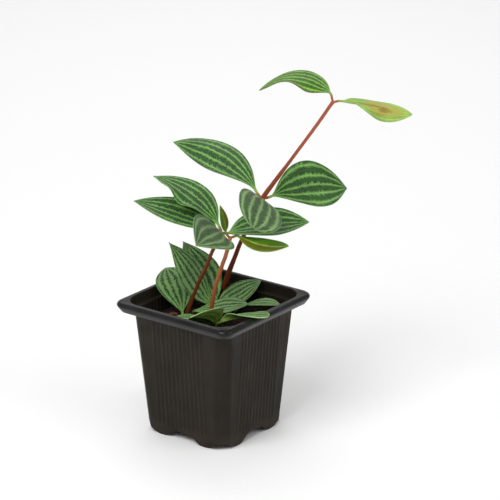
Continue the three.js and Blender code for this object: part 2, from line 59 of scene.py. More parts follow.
# Sizes below are in millimetres from the middle of the pot and up from its foot.
WALL = {"base": 38.1, "slope": 0.0765, "chamfer": 8.1, "thick": 1.2}
RIBS = {"pitch": 4.0, "count": 12}
# The scalloped lower edge: distance from the middle of a side, and height.
FOOT_EDGE = [(0, 6), (5, 6), (7, 5.8), (10, 4.4), (12.5, 2.3), (15.3, 0.7), (18, 0), (21, 0),
             (24, 0.5), (26.6, 1.5), (30, 3)]
FOOT_SIDE = 30.0             # beyond this distance from the middle of a side the edge is level
CORNER_EDGE = 3.0            # height of the lower edge where a corner starts
CORNER_NOTCH = 4.4           # its height in the middle of a corner
FOOT_TOP = 8.4               # where the scallops have faded out
CORNER_ROUND = 0.22          # how round the walls' flat corners are
CHAMFER_SHRINK = 0.586       # how much less corner a wall has for each millimetre further in
# Where the worn colour of the rim sets in: metres from the pot's middle, or up from its foot.
WORN = {"outside": (0.0482, 0.0494), "crest": (0.1029, 0.1036), "above": (0.0955, 0.0975)}
RIM_HALF = 53.8              # size of the rim in the list of its rings
POT_HEIGHT = 104.0           # height of the pot in the list of its rings
FLOOR_UNDER = 6.6
FLOOR_TOP = 8.2
SOIL_LEVEL = 84.6
STEM_DEPTH = 12.0            # how deep stems stand in the soil
PETIOLE_DEPTH = 8.0          # how deep leaf stalks stand in it
BLADE = {"edge": 0.3, "middle": 0.45}        # half of a leaf's thickness

# Centre line and radius of each stem, from the soil up.
STEMS = {
    "stem_left": {
        "points": [(-24.4, -1.5, 85), (-21, .4, 96.5), (-18.2, 1.8, 104.7), (-15.5, 3.3, 112.9),
                   (-12.1, 5.1, 121.1), (-9.3, 6.5, 129.3), (-6.6, 7.8, 137), (-2.2, 10.1, 147),
                   (-.7, 10.9, 150.6)],
        "radii": [1.5, 1.5, 1.4, 1.4, 1.4, 1.4, 1.4, 1.5, 1.8],
        "slot": "stem_red",
    },
    "stem_middle": {
        "points": [(.5, -5.6, 85), (1.1, -3.4, 98.7), (1.7, -1.8, 106.4), (2.4, -.2, 114),
                   (3.6, 2, 121.6), (4.9, 4.5, 129), (6.3, 7.1, 136.5), (7.2, 10, 146.6),
                   (7.4, 10.6, 149)],
        "radii": [1.6, 1.6, 1.5, 1.5, 1.5, 1.5, 1.5, 1.5, 1.7],
        "slot": "stem_copper",
    },
    "stem_tall": {
        "points": [(-25.3, 37.6, 85), (-21.7, 39.7, 93.8), (-18, 40.7, 105.3), (-11.5, 42, 122.5),
                   (-6.8, 42.6, 134.2), (4.6, 45.7, 160), (9.2, 47.4, 169.8), (18.9, 54, 186.9),
                   (27.2, 59.7, 201.2), (42.8, 71.5, 229.2), (49.7, 76.8, 242.4),
                   (51.6, 78.3, 245.8)],
        "radii": [2.3, 2.2, 2.0, 1.7, 1.6, 1.6, 1.9, 1.6, 1.3, 1.3, 1.3, 1.5],
        "slot": "stem_brown",
    },
}

# Where leaves join: a point on a stem's centre line.
NODES = {
    "left": (-.7, 10.9, 150.6),
    "middle": (7.4, 10.6, 149),
    "tall": (9.2, 47.4, 169.8),
    "tip": (51.6, 78.3, 245.8),
}


def leaf(root, heading, rise, bend, swing, roll, twist, length, width, p, q, fold, curl, **more):
    """A leaf's shape. Angles are in degrees: heading runs from +X towards +Y and rise is the
    midrib's slope up at the root, and swing and bend are their changes by the tip. roll and twist
    tilt the blade, p and q fill the outline out, fold and curl lift its margins. Lengths are in
    millimetres. out is the heading and rise of a stalk that leaves a stem, and foot is the place
    of one that leaves the soil."""
    shape = {"cup": 0.0, "wave": 0.0, "waves": 1.0, "phase": 0.0, "stalk": 0.9, "foot": None}
    shape.update(root=root, heading=heading, rise=rise, bend=bend, swing=swing, roll=roll,
                 twist=twist, length=length, width=width, p=p, q=q, fold=fold, curl=curl)
    shape.update(more)
    return shape


TOP_LEAVES = {
    "leaf_top_left": leaf((49.5, 76.7, 253.2), 204, 44, -87, 20, -18, 25, 57.5, 30, .8, 1.1, -2, -1,
                          wave=2.6, waves=1.35, phase=2.6, out=(175, 62), stalk=.75,
                          finish="leaf_fresh_green", slot="leaf_striped"),
    "leaf_top_right": leaf((56.3, 81.9, 246.6), 49, -11, -6, -3, -6, 60, 56, 22, .94, .84, -23, -7,
                           cup=70, out=(20, 12), stalk=.75, finish="leaf_yellow_green"),
}
UPPER_LEAVES = {
    "leaf_upper_left": leaf((5.1, 45.4, 175.7), 158, 37, -41, 45, -22, -4.5, 85, 31, 1.32, 1.01,
                            -12, -8.5, out=(200, 45)),
    "leaf_upper_right": leaf((13.5, 54.3, 171.1), 73, 12, -37, 1, 44, 0, 73, 41, 1.2, 1.04, 3, 3,
                             out=(70, 0)),
    "leaf_upper_front": leaf((13.5, 41.7, 171.7), 310, 20, -38, -17, -36, -4, 69, 39, .77, .5, 2, 2,
                             out=(300, 8), finish="leaf_grey_green"),
}
MIDDLE_LEAVES = {
    "leaf_middle_upper_left": leaf((-4, 11.5, 156), 162, 40, -30, 43, -1, -5.5, 67, 33, 1.4, 1.28,
                                   2, 0, wave=2.4, waves=2.2, phase=4.08, out=(170, 70)),
    "leaf_middle_left": leaf((-6.5, 11.4, 153), 195, 18, -13, 2, -13, -3, 68, 32, .77, 1.03, 6, 6,
                             out=(172, -5)),
    "leaf_middle_front": leaf((2.5, 6.5, 153.2), 292, 16, -11, 0, -39, 2, 68, 37.5, .71, 1.07, 8, 8,
                              out=(300, 5), finish="leaf_grey_green"),
    "leaf_middle_right": leaf((6.7, 10.2, 152.7), 53, 11, -13, -11, 8, 22, 61, 34, .82, .97, 7, 7,
                              out=(-8, 22)),
}
YOUNG_LEAVES = {
    "leaf_young_upright": leaf((6, 7.1, 154.7), 184, 79, -5, 4, -6, 5, 20, 9, .66, 1, 4, 5,
                               out=(255, 40), stalk=.75),
    "leaf_young_right": leaf((14.5, 12.3, 150.9), 7, -18, 38, -4, 9, 4, 44, 18, .87, .82, 2, 3,
                             out=(8, 18), stalk=.8),
}
BASE_LEAVES = {
    "base_leaf_left": leaf((-26.3, -4.6, 86), 159, 71, -55, -8, 2, -17, 40.5, 29, 1.15, .88, 6, 6,
                           foot=(-25.7, -5.6)),
    "base_leaf_back_left": leaf((-17.3, 17.7, 88), 216, 68, -20, -3, -24, -22, 58.5, 27.5, .85, 1.25,
                                -8, -4, foot=(-16.9, 18.2)),
    "base_leaf_back": leaf((-18.5, 26.1, 86.4), 168, 55, -20, -1, -5, 0, 55.5, 30, 1, 1.15, 8, 8,
                           foot=(-17.5, 26)),
    "base_leaf_back_right": leaf((-13, 23, 87.5), 44, 27, 5, -1, 17, 3, 36.5, 25, .6, .87, 4, 2,
                                 foot=(-14.8, 21.9)),
    "base_leaf_middle": leaf((-21, 4, 86.2), 15, 17, -5, 4, 14, 1, 44, 22, 1, .88, 6, 3,
                             foot=(-23.6, 3.6)),
    "base_leaf_right": leaf((6.6, 23.8, 89.8), 3, 20.5, -13, -1, -1, 4, 38.5, 17.5, 1.25, 1.2, 18, 0,
                            foot=(1.5, 23.2)),
    "base_leaf_front": leaf((5, -6, 86), 290, 36, -24, -20, 33, -6, 42, 27, .57, 1.05, 10, 10,
                            foot=(4.5, -3.9), finish="leaf_deep_green"),
    "base_leaf_front_right": leaf((17.6, -15.4, 92), .6, 28, -18, -4, -30, 37, 48.7, 18, .84, .53, 8, 1,
                                  cup=63, foot=(11, -10.6), finish="leaf_deep_green"),
    "base_leaf_front_left": leaf((-6, -7, 87), 237, 13, -6, 0, 0, 0, 21, 12, .7, 1, 6, 4,
                                 foot=(-4.2, -4.2), finish="leaf_deep_green"),
}

VEIN_DEPTH = 0.13            # how far the veins are sunk into the upper face
VEIN_WIDTH = 0.22            # their width, as a share of half the distance between them
KEEL_HEIGHT = 0.35           # how far the midrib stands out below
KEEL_WIDTH = 0.9
STALK_SWELL = 1.15           # leaf stalks are a little fuller than their solids
RIB_END = 0.45               # share of the blade by which its rib has faded out
NECK_END = 0.16              # share of the blade by which the stalk has opened flat
MARGIN_START = 0.975         # share of half the width from which the margin is rounded
MIDRIB_STEPS = 480
SMALL_LEAF = 13.0            # a leaf narrower than this has a coarser mesh
CORNERS = ((1, 1), (-1, 1), (-1, -1), (1, -1))
LIT_CRUMB_PATCH = {"x": (-33, 3.2), "y": (-15, 4.5), "every": 9}   # middle and spread of a patch of pale crumbs, painted light where light falls on the soil
DRILL = {"height": 0.0075, "depth": 0.012}


def smooth(x):
    """Rises smoothly from 0 to 1."""
    t = np.clip(x, 0.0, 1.0)
    return t * t * (3.0 - 2.0 * t)


def unit(v):
    return v / np.linalg.norm(v, axis=-1, keepdims=True)


def beside(*values):
    """Numbers or arrays side by side, with one row for each point."""
    return np.stack(np.broadcast_arrays(*values), -1)


def pointing(heading, rise):
    """Unit vectors with these angles in radians."""
    return beside(np.cos(rise) * np.cos(heading), np.cos(rise) * np.sin(heading), np.sin(rise))


def curve_through(keys, x):
    """Smooth values at x through (place, value) pairs."""
    keys = np.array(keys, float)
    slope = np.gradient(keys[:, 1], keys[:, 0])
    k = np.clip(np.searchsorted(keys[:, 0], x, side="right") - 1, 0, len(keys) - 2)
    h = keys[k + 1, 0] - keys[k, 0]
    t = np.clip((x - keys[k, 0]) / h, 0, 1)
    return (keys[k, 1] * (2 * t**3 - 3 * t**2 + 1) + slope[k] * h * (t**3 - 2 * t**2 + t)
            + keys[k + 1, 1] * (3 * t**2 - 2 * t**3) + slope[k + 1] * h * (t**3 - t**2))


def speckle(points, scale, seed):
    """Smooth noise from -1 to 1 at each point."""
    at = np.array([seed * 7.3, seed * 3.1, seed * 5.7])
    return np.array([noise.noise(Vector(p * scale + at)) for p in points])


def tube_faces(rings, around, caps=True):
    """Quads between rings of equal count, and one face over each end."""
    faces = []
    for k in range(rings - 1):
        for i in range(around):
            a = k * around + i
            b = k * around + (i + 1) % around
            faces.append((a, b, b + around, a + around))
    if caps:
        faces.append(tuple(range(around - 1, -1, -1)))
        faces.append(tuple(range((rings - 1) * around, rings * around)))
    return faces


def new_object(name, points, faces, attributes=None):
    """A smooth shaded mesh object from points in millimetres round the pot's middle."""
    mesh = bpy.data.meshes.new(name)
    mesh.from_pydata((np.asarray(points) * MM + MIDDLE).tolist(), [], faces)
    for key, values in (attributes or {}).items():
        layer = mesh.attributes.new(key, "FLOAT_VECTOR", "POINT")
        layer.data.foreach_set("vector", np.asarray(values, np.float32).ravel())
    made = bmesh.new()
    made.from_mesh(mesh)
    bmesh.ops.recalc_face_normals(made, faces=made.faces)
    made.to_mesh(mesh)
    made.free()
    mesh.shade_smooth()
    piece = bpy.data.objects.new(name, mesh)
    bpy.context.scene.collection.objects.link(piece)
    return piece


def dress(piece, node, slot, finish):
    """The piece rides on the plant, stands for a CAD node and gets its material."""
    piece.data.materials.append(finish)
    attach(piece, "root")
    if node:
        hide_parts(node)
    return piece


# Shader nodes


class Wire:
    """A shader socket that takes plain arithmetic. Each step of it adds a Math node."""

    def __init__(self, nodes, socket):
        self.nodes = nodes
        self.socket = socket

    def __add__(self, other):
        return self.nodes.math("ADD", self, other)

    def __sub__(self, other):
        return self.nodes.math("SUBTRACT", self, other)

    def __rsub__(self, other):
        return self.nodes.math("SUBTRACT", other, self)

    def __mul__(self, other):
        return self.nodes.math("MULTIPLY", self, other)

    def __truediv__(self, other):
        return self.nodes.math("DIVIDE", self, other)

    def __abs__(self):
        return self.nodes.math("ABSOLUTE", self)


class Nodes:
    """Adds and joins the nodes of one shader tree."""

    def __init__(self, tree):
        self.tree = tree

    def feed(self, socket, value):
        if isinstance(value, Wire):
            self.tree.links.new(value.socket, socket)
        elif socket.type == "RGBA" and len(value) == 3:
            socket.default_value = (*value, 1.0)
        else:
            socket.default_value = value

    def add(self, kind, inputs=None, **settings):
        made = self.tree.nodes.new("ShaderNode" + kind)
        for key, value in settings.items():
            setattr(made, key, value)
        for key, value in (inputs or {}).items():
            self.feed(made.inputs[key], value)
        return made

    def take(self, kind, inputs=None, output=0, **settings):
        """The wire from one output of a new node."""
        return Wire(self, self.add(kind, inputs, **settings).outputs[output])

    def math(self, operation, *values):
        return self.take("Math", dict(enumerate(values)), operation=operation)

    def ease(self, value, low, high, to_low=0.0, to_high=1.0):
        """value from low to high, eased to the range to_low to to_high."""
        return self.take("MapRange", {0: value, 1: low, 2: high, 3: to_low, 4: to_high},
                         interpolation_type="SMOOTHSTEP")

    def mix(self, share, first, second, blend="MIX"):
        return self.take("Mix", {0: share, 6: first, 7: second}, 2, data_type="RGBA",
                         blend_type=blend)

    def blend(self, share, first, second):
        return self.take("Mix", {0: share, 2: first, 3: second}, data_type="FLOAT")

    def noise(self, vector, scale=1.0, detail=2.0, roughness=0.5):
        return self.take("TexNoise", {"Vector": vector, "Scale": scale, "Detail": detail,
                                      "Roughness": roughness})

    def cells(self, vector, scale=1.0):
        return self.take("TexVoronoi", {"Vector": vector, "Scale": scale}, feature="F1")

    def join(self, x, y, z):
        return self.take("CombineXYZ", {0: x, 1: y, 2: z})

    def split(self, vector):
        return [Wire(self, socket) for socket in self.add("SeparateXYZ", {0: vector}).outputs]

    def stretch(self, vector, scale):
        """The vector with each axis scaled."""
        return self.take("VectorMath", {0: vector, 1: scale}, operation="MULTIPLY")

    def gap(self, vector, point):
        return self.take("VectorMath", {0: vector, 1: point}, "Value", operation="DISTANCE")

    def attribute(self, name):
        return self.take("Attribute", None, "Vector", attribute_name=name)

    def place(self):
        """Position on the object, in metres."""
        return self.take("TexCoord", None, "Object")

    def group(self, tree, inputs):
        """The outputs of a shared group, by name."""
        made = self.add("Group", inputs, node_tree=tree)
        return {socket.name: Wire(self, socket) for socket in made.outputs}

    def mottle(self, place, size):
        return self.group(mottle_group(), {"Place": place, "Size": size})


def shared_group(name, inputs, outputs, build):
    """The shader node group of this name, made at its first use. build gets the group's nodes and
    inputs and gives its outputs in order."""
    if name in bpy.data.node_groups:
        return bpy.data.node_groups[name]
    tree = bpy.data.node_groups.new(name, "ShaderNodeTree")
    for key, value in inputs.items():
        kind = "NodeSocketVector" if value is None else "NodeSocketFloat"
        socket = tree.interface.new_socket(key, in_out="INPUT", socket_type=kind)
        if value is not None:
            socket.default_value = value
    for key in outputs:
        tree.interface.new_socket(key, in_out="OUTPUT", socket_type="NodeSocketFloat")
    nodes = Nodes(tree)
    given = {socket.name: Wire(nodes, socket) for socket in tree.nodes.new("NodeGroupInput").outputs}
    results = tree.nodes.new("NodeGroupOutput")
    for key, value in zip(outputs, build(nodes, given)):
        nodes.feed(results.inputs[key], value)
    return tree


def stripes_group():
    """Light bands along a blade with feathered edges. Blade holds the share of the length, the
    share of half the width and the face; Span holds millimetres along and across. Step is the
    distance between light bands as a share of half the width."""
    return shared_group(
        "Feathered stripes",
        {"Blade": None, "Span": None, "Step": 0.4, "Light Width": 0.3, "Feather": 0.5,
         "Wander": 0.08},
        ("Light", "Core", "Between", "Hatch", "Fine"), stripes_nodes)


def stripes_nodes(nodes, given):
    ease = nodes.ease
    along_share, across_share, _ = nodes.split(given["Blade"])
    along, across, seed = nodes.split(given["Span"])
    slow = nodes.noise(nodes.join(along * 0.07, across * 0.05, seed))
    turn = (across_share + (slow - 0.5) * given["Wander"]) / given["Step"] + 0.5
    place = nodes.math("FRACT", turn) - 0.5
    off = abs(place) * 2.0
    band = nodes.math("FLOOR", turn)
    # strokes that leave a band towards the tip on both of its sides
    key = band * 5.3 + (nodes.math("SIGN", place) * 3.7 + seed)
    stroke = nodes.noise(nodes.join((along - off * 2.4) * 1.1, off * 0.45, key), 1.0, 3.0, 0.7)
    reach = (ease(stroke, 0.38, 0.66) - 0.3) * given["Feather"]
    patch = nodes.noise(nodes.join(along * 0.16, band * 3.1, seed), 1.0, 1.0)
    # bands fill the narrow ends of the blade
    ends = ease(along_share, 0.13, 0.0, 0.0, 0.5) + ease(along_share, 0.9, 1.0, 0.0, 0.3)
    width = given["Light Width"] + (patch - 0.5) * 0.25 + ends
    # fine slanting strokes towards both margins
    outward = abs(across)
    fine = nodes.noise(nodes.join((along - outward * 1.1) * 1.3, outward * 0.3, key))
    hatch = ease(abs(across_share), 0.55, 0.9) * ease(fine, 0.5, 0.62)
    return (ease(width + reach - off, -0.1, 0.1), ease(off, 0.3, 0.0), ease(off, 0.5, 0.95), hatch,
            nodes.cells(nodes.join(along, across, seed), 1.9))


def mottle_group():
    """Uneven colour at two sizes, from a place in metres."""
    return shared_group("Mottle", {"Place": None, "Size": 1.0}, ("Broad", "Grain"), mottle_nodes)


def mottle_nodes(nodes, given):
    near = nodes.take("VectorMath", {"Vector": given["Place"], "Scale": given["Size"]},
                      operation="SCALE")
    return nodes.noise(near, 60.0, 3.0, 0.55), nodes.noise(near, 900.0, 3.0, 0.6)


def new_material(name):
    """A material and the nodes of its empty tree."""
    material = bpy.data.materials.new(name)
    material.use_nodes = True
    material.node_tree.nodes.clear()
    return material, Nodes(material.node_tree)


def surface(nodes, colour, roughness, shine=None, bump=None):
    """Ends a material with its shader. shine is one number for the whole surface. bump holds the
    strength, the distance in metres and the height."""
    shader = nodes.add("BsdfPrincipled", {"Base Color": colour, "Roughness": roughness})
    if shine is not None:
        shader.inputs["Specular IOR Level"].default_value = shine
    if bump:
        wire = nodes.take("Bump", dict(zip(("Strength", "Distance", "Height"), bump)))
        nodes.feed(shader.inputs["Normal"], wire)
    nodes.add("OutputMaterial", {"Surface": Wire(nodes, shader.outputs[0])})


def leaf_material(name, look):
    """A waxy blade: stripes above, a plain paler face below, a thin pale margin, and a stalk that
    turns from red at the stem to green at the blade."""
    material, nodes = new_material(name)
    mix, ease = nodes.mix, nodes.ease
    blade = nodes.attribute("blade")
    span = nodes.attribute("span")
    along_share, across_share, face = nodes.split(blade)
    mottle = nodes.mottle(nodes.place(), 1.0)
    stripes = nodes.group(stripes_group(), {
        "Blade": blade, "Span": span, "Step": look["step"], "Light Width": look["light_width"],
        "Feather": look["feather"], "Wander": look["wander"]})
    dark = mix(stripes["Between"] * 0.75, look["dark"], look["between"])
    dark = mix(stripes["Hatch"] * look["hatch"], dark, look["light"])
    pale = mix(stripes["Core"] * look["core_share"], look["light"], look["core"])
    pale = mix(ease(along_share, 0.34, 0.04, 0.0, 0.7), pale, look["near_stalk"])
    upper = mix(stripes["Light"] * look["contrast"], dark, pale)
    uneven = ease(mottle["Broad"], 0.3, 0.7, 0.78, 1.12)
    upper = mix(1.0, upper, nodes.join(uneven, uneven, uneven), "MULTIPLY")
    upper = mix(ease(mottle["Grain"], 0.52, 0.72, 0.0, look["grain"]), upper, look["core"])
    lower = mix(ease(mottle["Broad"], 0.35, 0.7), look["under"], look["under_other"])
    lower = mix(stripes["Core"] * 0.3, lower, look["light"])
    if "under_lines" in look:
        lower = mix((1.0 - stripes["Light"]) * look["under_lines"], lower, look["dark"])
        lower = mix(ease(mottle["Grain"], 0.5, 0.7, 0.0, 0.35), lower, look["margin"])
    is_upper = ease(face, -0.2, 0.2)
    colour = mix(is_upper, lower, upper)
    margin = ease(abs(across_share), 0.965, 0.995, 0.0, look["margin_share"])
    colour = mix(margin * ease(along_share, 0.02, 0.12), colour, look["margin"])
    if "blotch" in look:
        colour = blotched(nodes, colour, blade, span, mottle["Broad"], look["blotch"])
    if "far_half" in look:
        green, streak = look["far_half"]
        far = ease(across_share + (mottle["Broad"] - 0.5) * 0.5, 0.06, 0.3)
        colour = mix(far * is_upper, colour, mix(stripes["Hatch"] * 0.7, green, streak))
    stalk = mix(ease(along_share, -0.06, -0.6), look["stalk_blade"], look["stalk_stem"])
    colour = mix(ease(along_share, 0.05, -0.03), colour, stalk)
    surface(nodes, colour, ease(mottle["Grain"], 0.3, 0.7, look["gloss"], look["gloss"] + 0.14),
            look["shine"], (0.28, 0.0004, stripes["Fine"] * 0.5 + mottle["Grain"] * 0.6))
    return material


def blotched(nodes, colour, blade, span, broad, blotch):
    """The colour with a tan patch round middle, brown streaks along its veins, a burnt spot and a
    burnt midrib."""
    middle, spot, reach, tan, brown, burnt = blotch
    mix, ease = nodes.mix, nodes.ease
    squash = 0.42
    squashed = nodes.stretch(blade, (1.0, squash, 0.0))
    uneven = (broad - 0.5) * 0.3
    from_middle = nodes.gap(squashed, (middle[0], middle[1] * squash, 0.0)) + uneven
    from_spot = nodes.gap(squashed, (spot[0], spot[1] * squash, 0.0)) + uneven
    along_share, across_share, _ = nodes.split(blade)
    along, across, seed = nodes.split(span)
    vein = nodes.noise(nodes.join(along * 0.09, across * 1.1, seed), 1.0, 3.0, 0.65)
    streaked = mix(ease(vein, 0.52, 0.68, 0.0, 0.75), tan, brown)
    colour = mix(ease(from_middle, reach, reach * 0.62, 0.0, 0.9), colour, streaked)
    on_spot = ease(from_spot, 0.13, 0.03) * ease(vein, 0.36, 0.54)
    on_rib = ease(abs(across_share), 0.09, 0.03) * (
        ease(along_share, 0.1, 0.25) * ease(along_share, 0.66, 0.5, 0.0, 0.7))
    return mix(nodes.math("MAXIMUM", on_spot, on_rib), colour, burnt)


def hexa(code):
    """A linear colour from a hexadecimal display colour."""
    parts = [int(code[i:i + 2], 16) / 255 for i in (0, 2, 4)]
    return tuple(c / 12.92 if c <= 0.04045 else ((c + 0.055) / 1.055) ** 2.4 for c in parts)


GREENS = ("dark", "between", "light", "core", "near_stalk")
LEAF_LOOK = {
    "step": 0.405, "light_width": 0.3, "feather": 0.6, "wander": 0.14, "contrast": 0.95,
    "hatch": 0.5, "grain": 0.15, "gloss": 0.42, "shine": 0.24, "margin_share": 0.6,
    "core_share": 0.8, "under": "5f8c45", "under_other": "6f9a55", "margin": "8fb474",
    "stalk_blade": "8aa63f", "stalk_stem": "9c5526",
}


def look(greens, **changes):
    """The values of a leaf's look, with each colour made from its display code. greens holds the
    codes of the GREENS of the upper face."""
    values = {**LEAF_LOOK, **dict(zip(GREENS, greens.split())), **changes}
    return {key: hexa(value) if isinstance(value, str) else value
            for key, value in values.items()}


LOOKS = {
    "leaf_striped": look("1f4119 315829 65954a 82b05f 72ab46"),
    "leaf_fresh_green": look("34560c 3e6618 6b9f38 94c963 84b858", light_width=0.34,
                             margin="75502a", margin_share=0.7),
    # The two front leaves' greens are their own striped green, greyed by a painted sheen of light on
    # their upper faces.
    "leaf_grey_green": look("304b2b 435d3a 71945a 90b276 7fa55f", gloss=0.38, shine=0.25,
                            grain=0.3, hatch=0.4, light_width=0.36),
    "leaf_yellow_green": look("84a945 93b552 a5c968 b6da7c 6f9438", contrast=0.75, hatch=0.1,
                              under="84ad50", under_other="94bb60", margin="86ad4c",
                              blotch=((0.62, 0.05), (0.62, -0.15), 0.36, hexa("aaa94e"),
                                      hexa("8c5a20"), hexa("7c3f10"))),
    "leaf_olive": look("736a16 5d821c 8fba48 a4d562 7da83c", step=2.0, light_width=0.1,
                       feather=0.1, wander=0.1, hatch=0.25, under="5b7420", under_other="6b7a28",
                       margin="7db23a", margin_share=0.9,
                       far_half=(hexa("5c8a20"), hexa("7db238"))),
    "leaf_pale": look("213f20 2a4f29 73985c 84a56a 7caa58", step=0.39, light_width=0.49,
                      hatch=0.2, core_share=0.35, stalk_stem="7fa050"),
    # The deep green leaves' paler underside is their own colour, brightened as painted light that
    # stands in for light shining through the blade.
    "leaf_deep_green": look("3d6427 4a7136 74985a 90b075 72ab46", step=0.39, light_width=0.5,
                            under="8ab748", under_other="a3c962", margin="b0cc90",
                            margin_share=0.9, under_lines=0.6, stalk_stem="6d8f3c"),
}


def leaf_finish(name):
    """The finish of a leaf, built once for all leaves that share it."""
    own = name + "_waxy"
    return bpy.data.materials.get(own) or leaf_material(own, LOOKS[name])


# Leaves


def midrib(shape, shares):
    """Positions, directions, sides and normals along the midrib at each share of its length."""
    def angles(share):
        return (np.radians(shape["heading"] + shape["swing"] * share),
                np.radians(shape["rise"] + shape["bend"] * share))

    middles = (np.arange(MIDRIB_STEPS) + 0.5) / MIDRIB_STEPS
    pieces = pointing(*angles(middles)) * shape["length"] / MIDRIB_STEPS
    line = np.vstack([[0, 0, 0], np.cumsum(pieces, 0)]) + np.array(shape["root"], float)
    grid = np.arange(MIDRIB_STEPS + 1) / MIDRIB_STEPS
    at = beside(*[np.interp(shares, grid, line[:, k]) for k in range(3)])
    heading, rise = angles(shares)
    roll = np.radians(shape["roll"] + shape["twist"] * shares)[:, None]
    level = pointing(heading + math.pi / 2, 0)
    over = pointing(heading, rise + math.pi / 2)
    side = level * np.cos(roll) + over * np.sin(roll)
    normal = over * np.cos(roll) - level * np.sin(roll)
    return at, pointing(heading, rise), side, normal


def half_width(shape, u):
    m = shape["p"] / (shape["p"] + shape["q"])
    top = m ** shape["p"] * (1 - m) ** shape["q"]
    return shape["width"] / 2 * u ** shape["p"] * (1 - u) ** shape["q"] / top


def bezier(a, b, c, d, t):
    t = t[:, None]
    at = (1 - t)**3 * a + 3 * (1 - t)**2 * t * b + 3 * (1 - t) * t**2 * c + t**3 * d
    along = 3 * (1 - t)**2 * (b - a) + 6 * (1 - t) * t * (c - b) + 3 * t**2 * (d - c)
    return at, unit(along)


def stalk_line(shape, t):
    """The stalk's centre line from inside the stem, or from in the soil, to the blade."""
    root = np.array(shape["root"], float)
    tangent = midrib(shape, np.array([0.0]))[1][0]
    if shape["foot"]:
        foot = np.array([*shape["foot"], SOIL_LEVEL - PETIOLE_DEPTH])
        top = np.array([*shape["foot"], SOIL_LEVEL])
        reach = np.linalg.norm(root - top) * 0.45
        return bezier(foot, top + [0, 0, reach * 0.3], root - tangent * reach, root, t)
    out = pointing(*np.radians(shape["out"]))
    start = np.array(NODES[shape["node"]], float) + out * 0.6
    reach = np.linalg.norm(root - start) * 0.4
    return bezier(start, start + out * reach, root - tangent * reach, root, t)


def stalk_sides(along, last):
    """Sides of the stalk's rings, carried back from the side of the blade."""
    sides = []
    for direction in along[::-1]:
        last = unit(last - direction * (last @ direction))
        sides.insert(0, last)
    return np.array(sides)


def leaf_rings(shape, index, columns, rows):
    """Rings of points down the stalk and blade, with their blade and span values."""
    stalk = shape["stalk"] * STALK_SWELL
    step = LOOKS[shape["finish"]]["step"]
    t = np.linspace(0, 1, 16 if shape["foot"] else 12, endpoint=False)
    at, along = stalk_line(shape, t)
    sides = stalk_sides(along, midrib(shape, np.array([0.0]))[2][0])
    normals = np.cross(along, sides)
    u = 1 - np.cos(np.linspace(0.12, 1, rows) ** 1.15 * math.pi / 2)
    u = np.concatenate([[0.004, 0.008], u[u > 0.012]])
    u = 0.997 * u / u[-1]
    blade_at, _, blade_sides, blade_normals = midrib(shape, u)
    seed = 3.17 * (index + 1)
    s = np.sin(np.linspace(1, -1, columns + 1) * math.pi / 2 * 0.985)
    v = np.concatenate([s, s[-2:0:-1]]) / s[0]
    a = np.abs(v)
    face = np.concatenate([np.ones(columns + 1), -np.ones(columns - 1)])
    face[[0, columns]] = 0.0
    margin = np.clip((a - MARGIN_START) / (1 - MARGIN_START), 0, 1)
    rounded = np.sqrt(1 - margin**2)
    flat = (BLADE["edge"] + (BLADE["middle"] - BLADE["edge"]) * (1 - v * v)) * rounded
    band = np.abs((v / step + 0.5) % 1 - 0.5) * 2
    points = []
    values = []
    spans = []

    def ring(centre, side, normal, share, half, opened, fold, curl, ruffle):
        k = curl if abs(curl) > 1e-4 else 1e-4
        y = np.sign(v) * (np.sin(fold + k * a) - math.sin(fold)) / k
        z = (math.cos(fold) - np.cos(fold + k * a)) / k
        wave = ruffle * np.maximum(v, 0)**3
        rib = (stalk - BLADE["middle"]) * (1 - smooth(share / RIB_END)) if share > 0 else 0
        rib_shape = np.exp(-(v * half / stalk)**2)
        narrow = min(1.0, half / 8.0)
        groove = VEIN_DEPTH * narrow * np.exp(-(band / VEIN_WIDTH)**2) * rounded
        keel = (KEEL_HEIGHT * narrow * np.exp(-(v * half / KEEL_WIDTH)**2)
                * (1 - smooth((share - 0.5) / 0.5)))
        above = flat + rib * rib_shape * 0.4 - groove
        below = flat + rib * rib_shape + groove * 0.8 + keel
        round_part = stalk * np.sqrt(np.maximum(1 - v * v, 0)) * (1 - opened)
        thick = np.where(face >= 0, round_part + above * opened, -round_part - below * opened)
        thick[[0, columns]] = 0.0
        tilt = np.sign(v) * (fold + k * a)
        out = normal * np.cos(tilt)[:, None] - side * np.sin(tilt)[:, None]
        return (centre + side * (half * y)[:, None] + normal * (half * z + wave)[:, None]
                + out * thick[:, None])

    stalk_length = float(np.sum(np.linalg.norm(np.diff(at, axis=0), axis=1)))
    for k, share in enumerate(t - 1):
        points.append(ring(at[k], sides[k], normals[k], -1, stalk, 0.0, 0, 0, 0))
        values.append(beside(share, v, face))
        spans.append(beside(share * stalk_length, v * stalk, seed))
    for k, share in enumerate(u):
        taper = 1 - float(smooth(share / NECK_END))
        opened = 1 - taper
        half = max(math.hypot(half_width(shape, share), stalk * taper), 0.25)
        fold = math.radians(shape["fold"] + shape["cup"] * (1 - share)**3) * opened
        curl = math.radians(shape["curl"]) * opened
        ruffle = (shape["wave"] * math.sin(2 * math.pi * shape["waves"] * share + shape["phase"])
                  * half_width(shape, share) / (shape["width"] / 2))
        points.append(ring(blade_at[k], blade_sides[k], blade_normals[k], share, half, opened,
                           fold, curl, ruffle))
        values.append(beside(share, v, face))
        spans.append(beside(share * shape["length"], v * half, seed))
    return points, values, spans


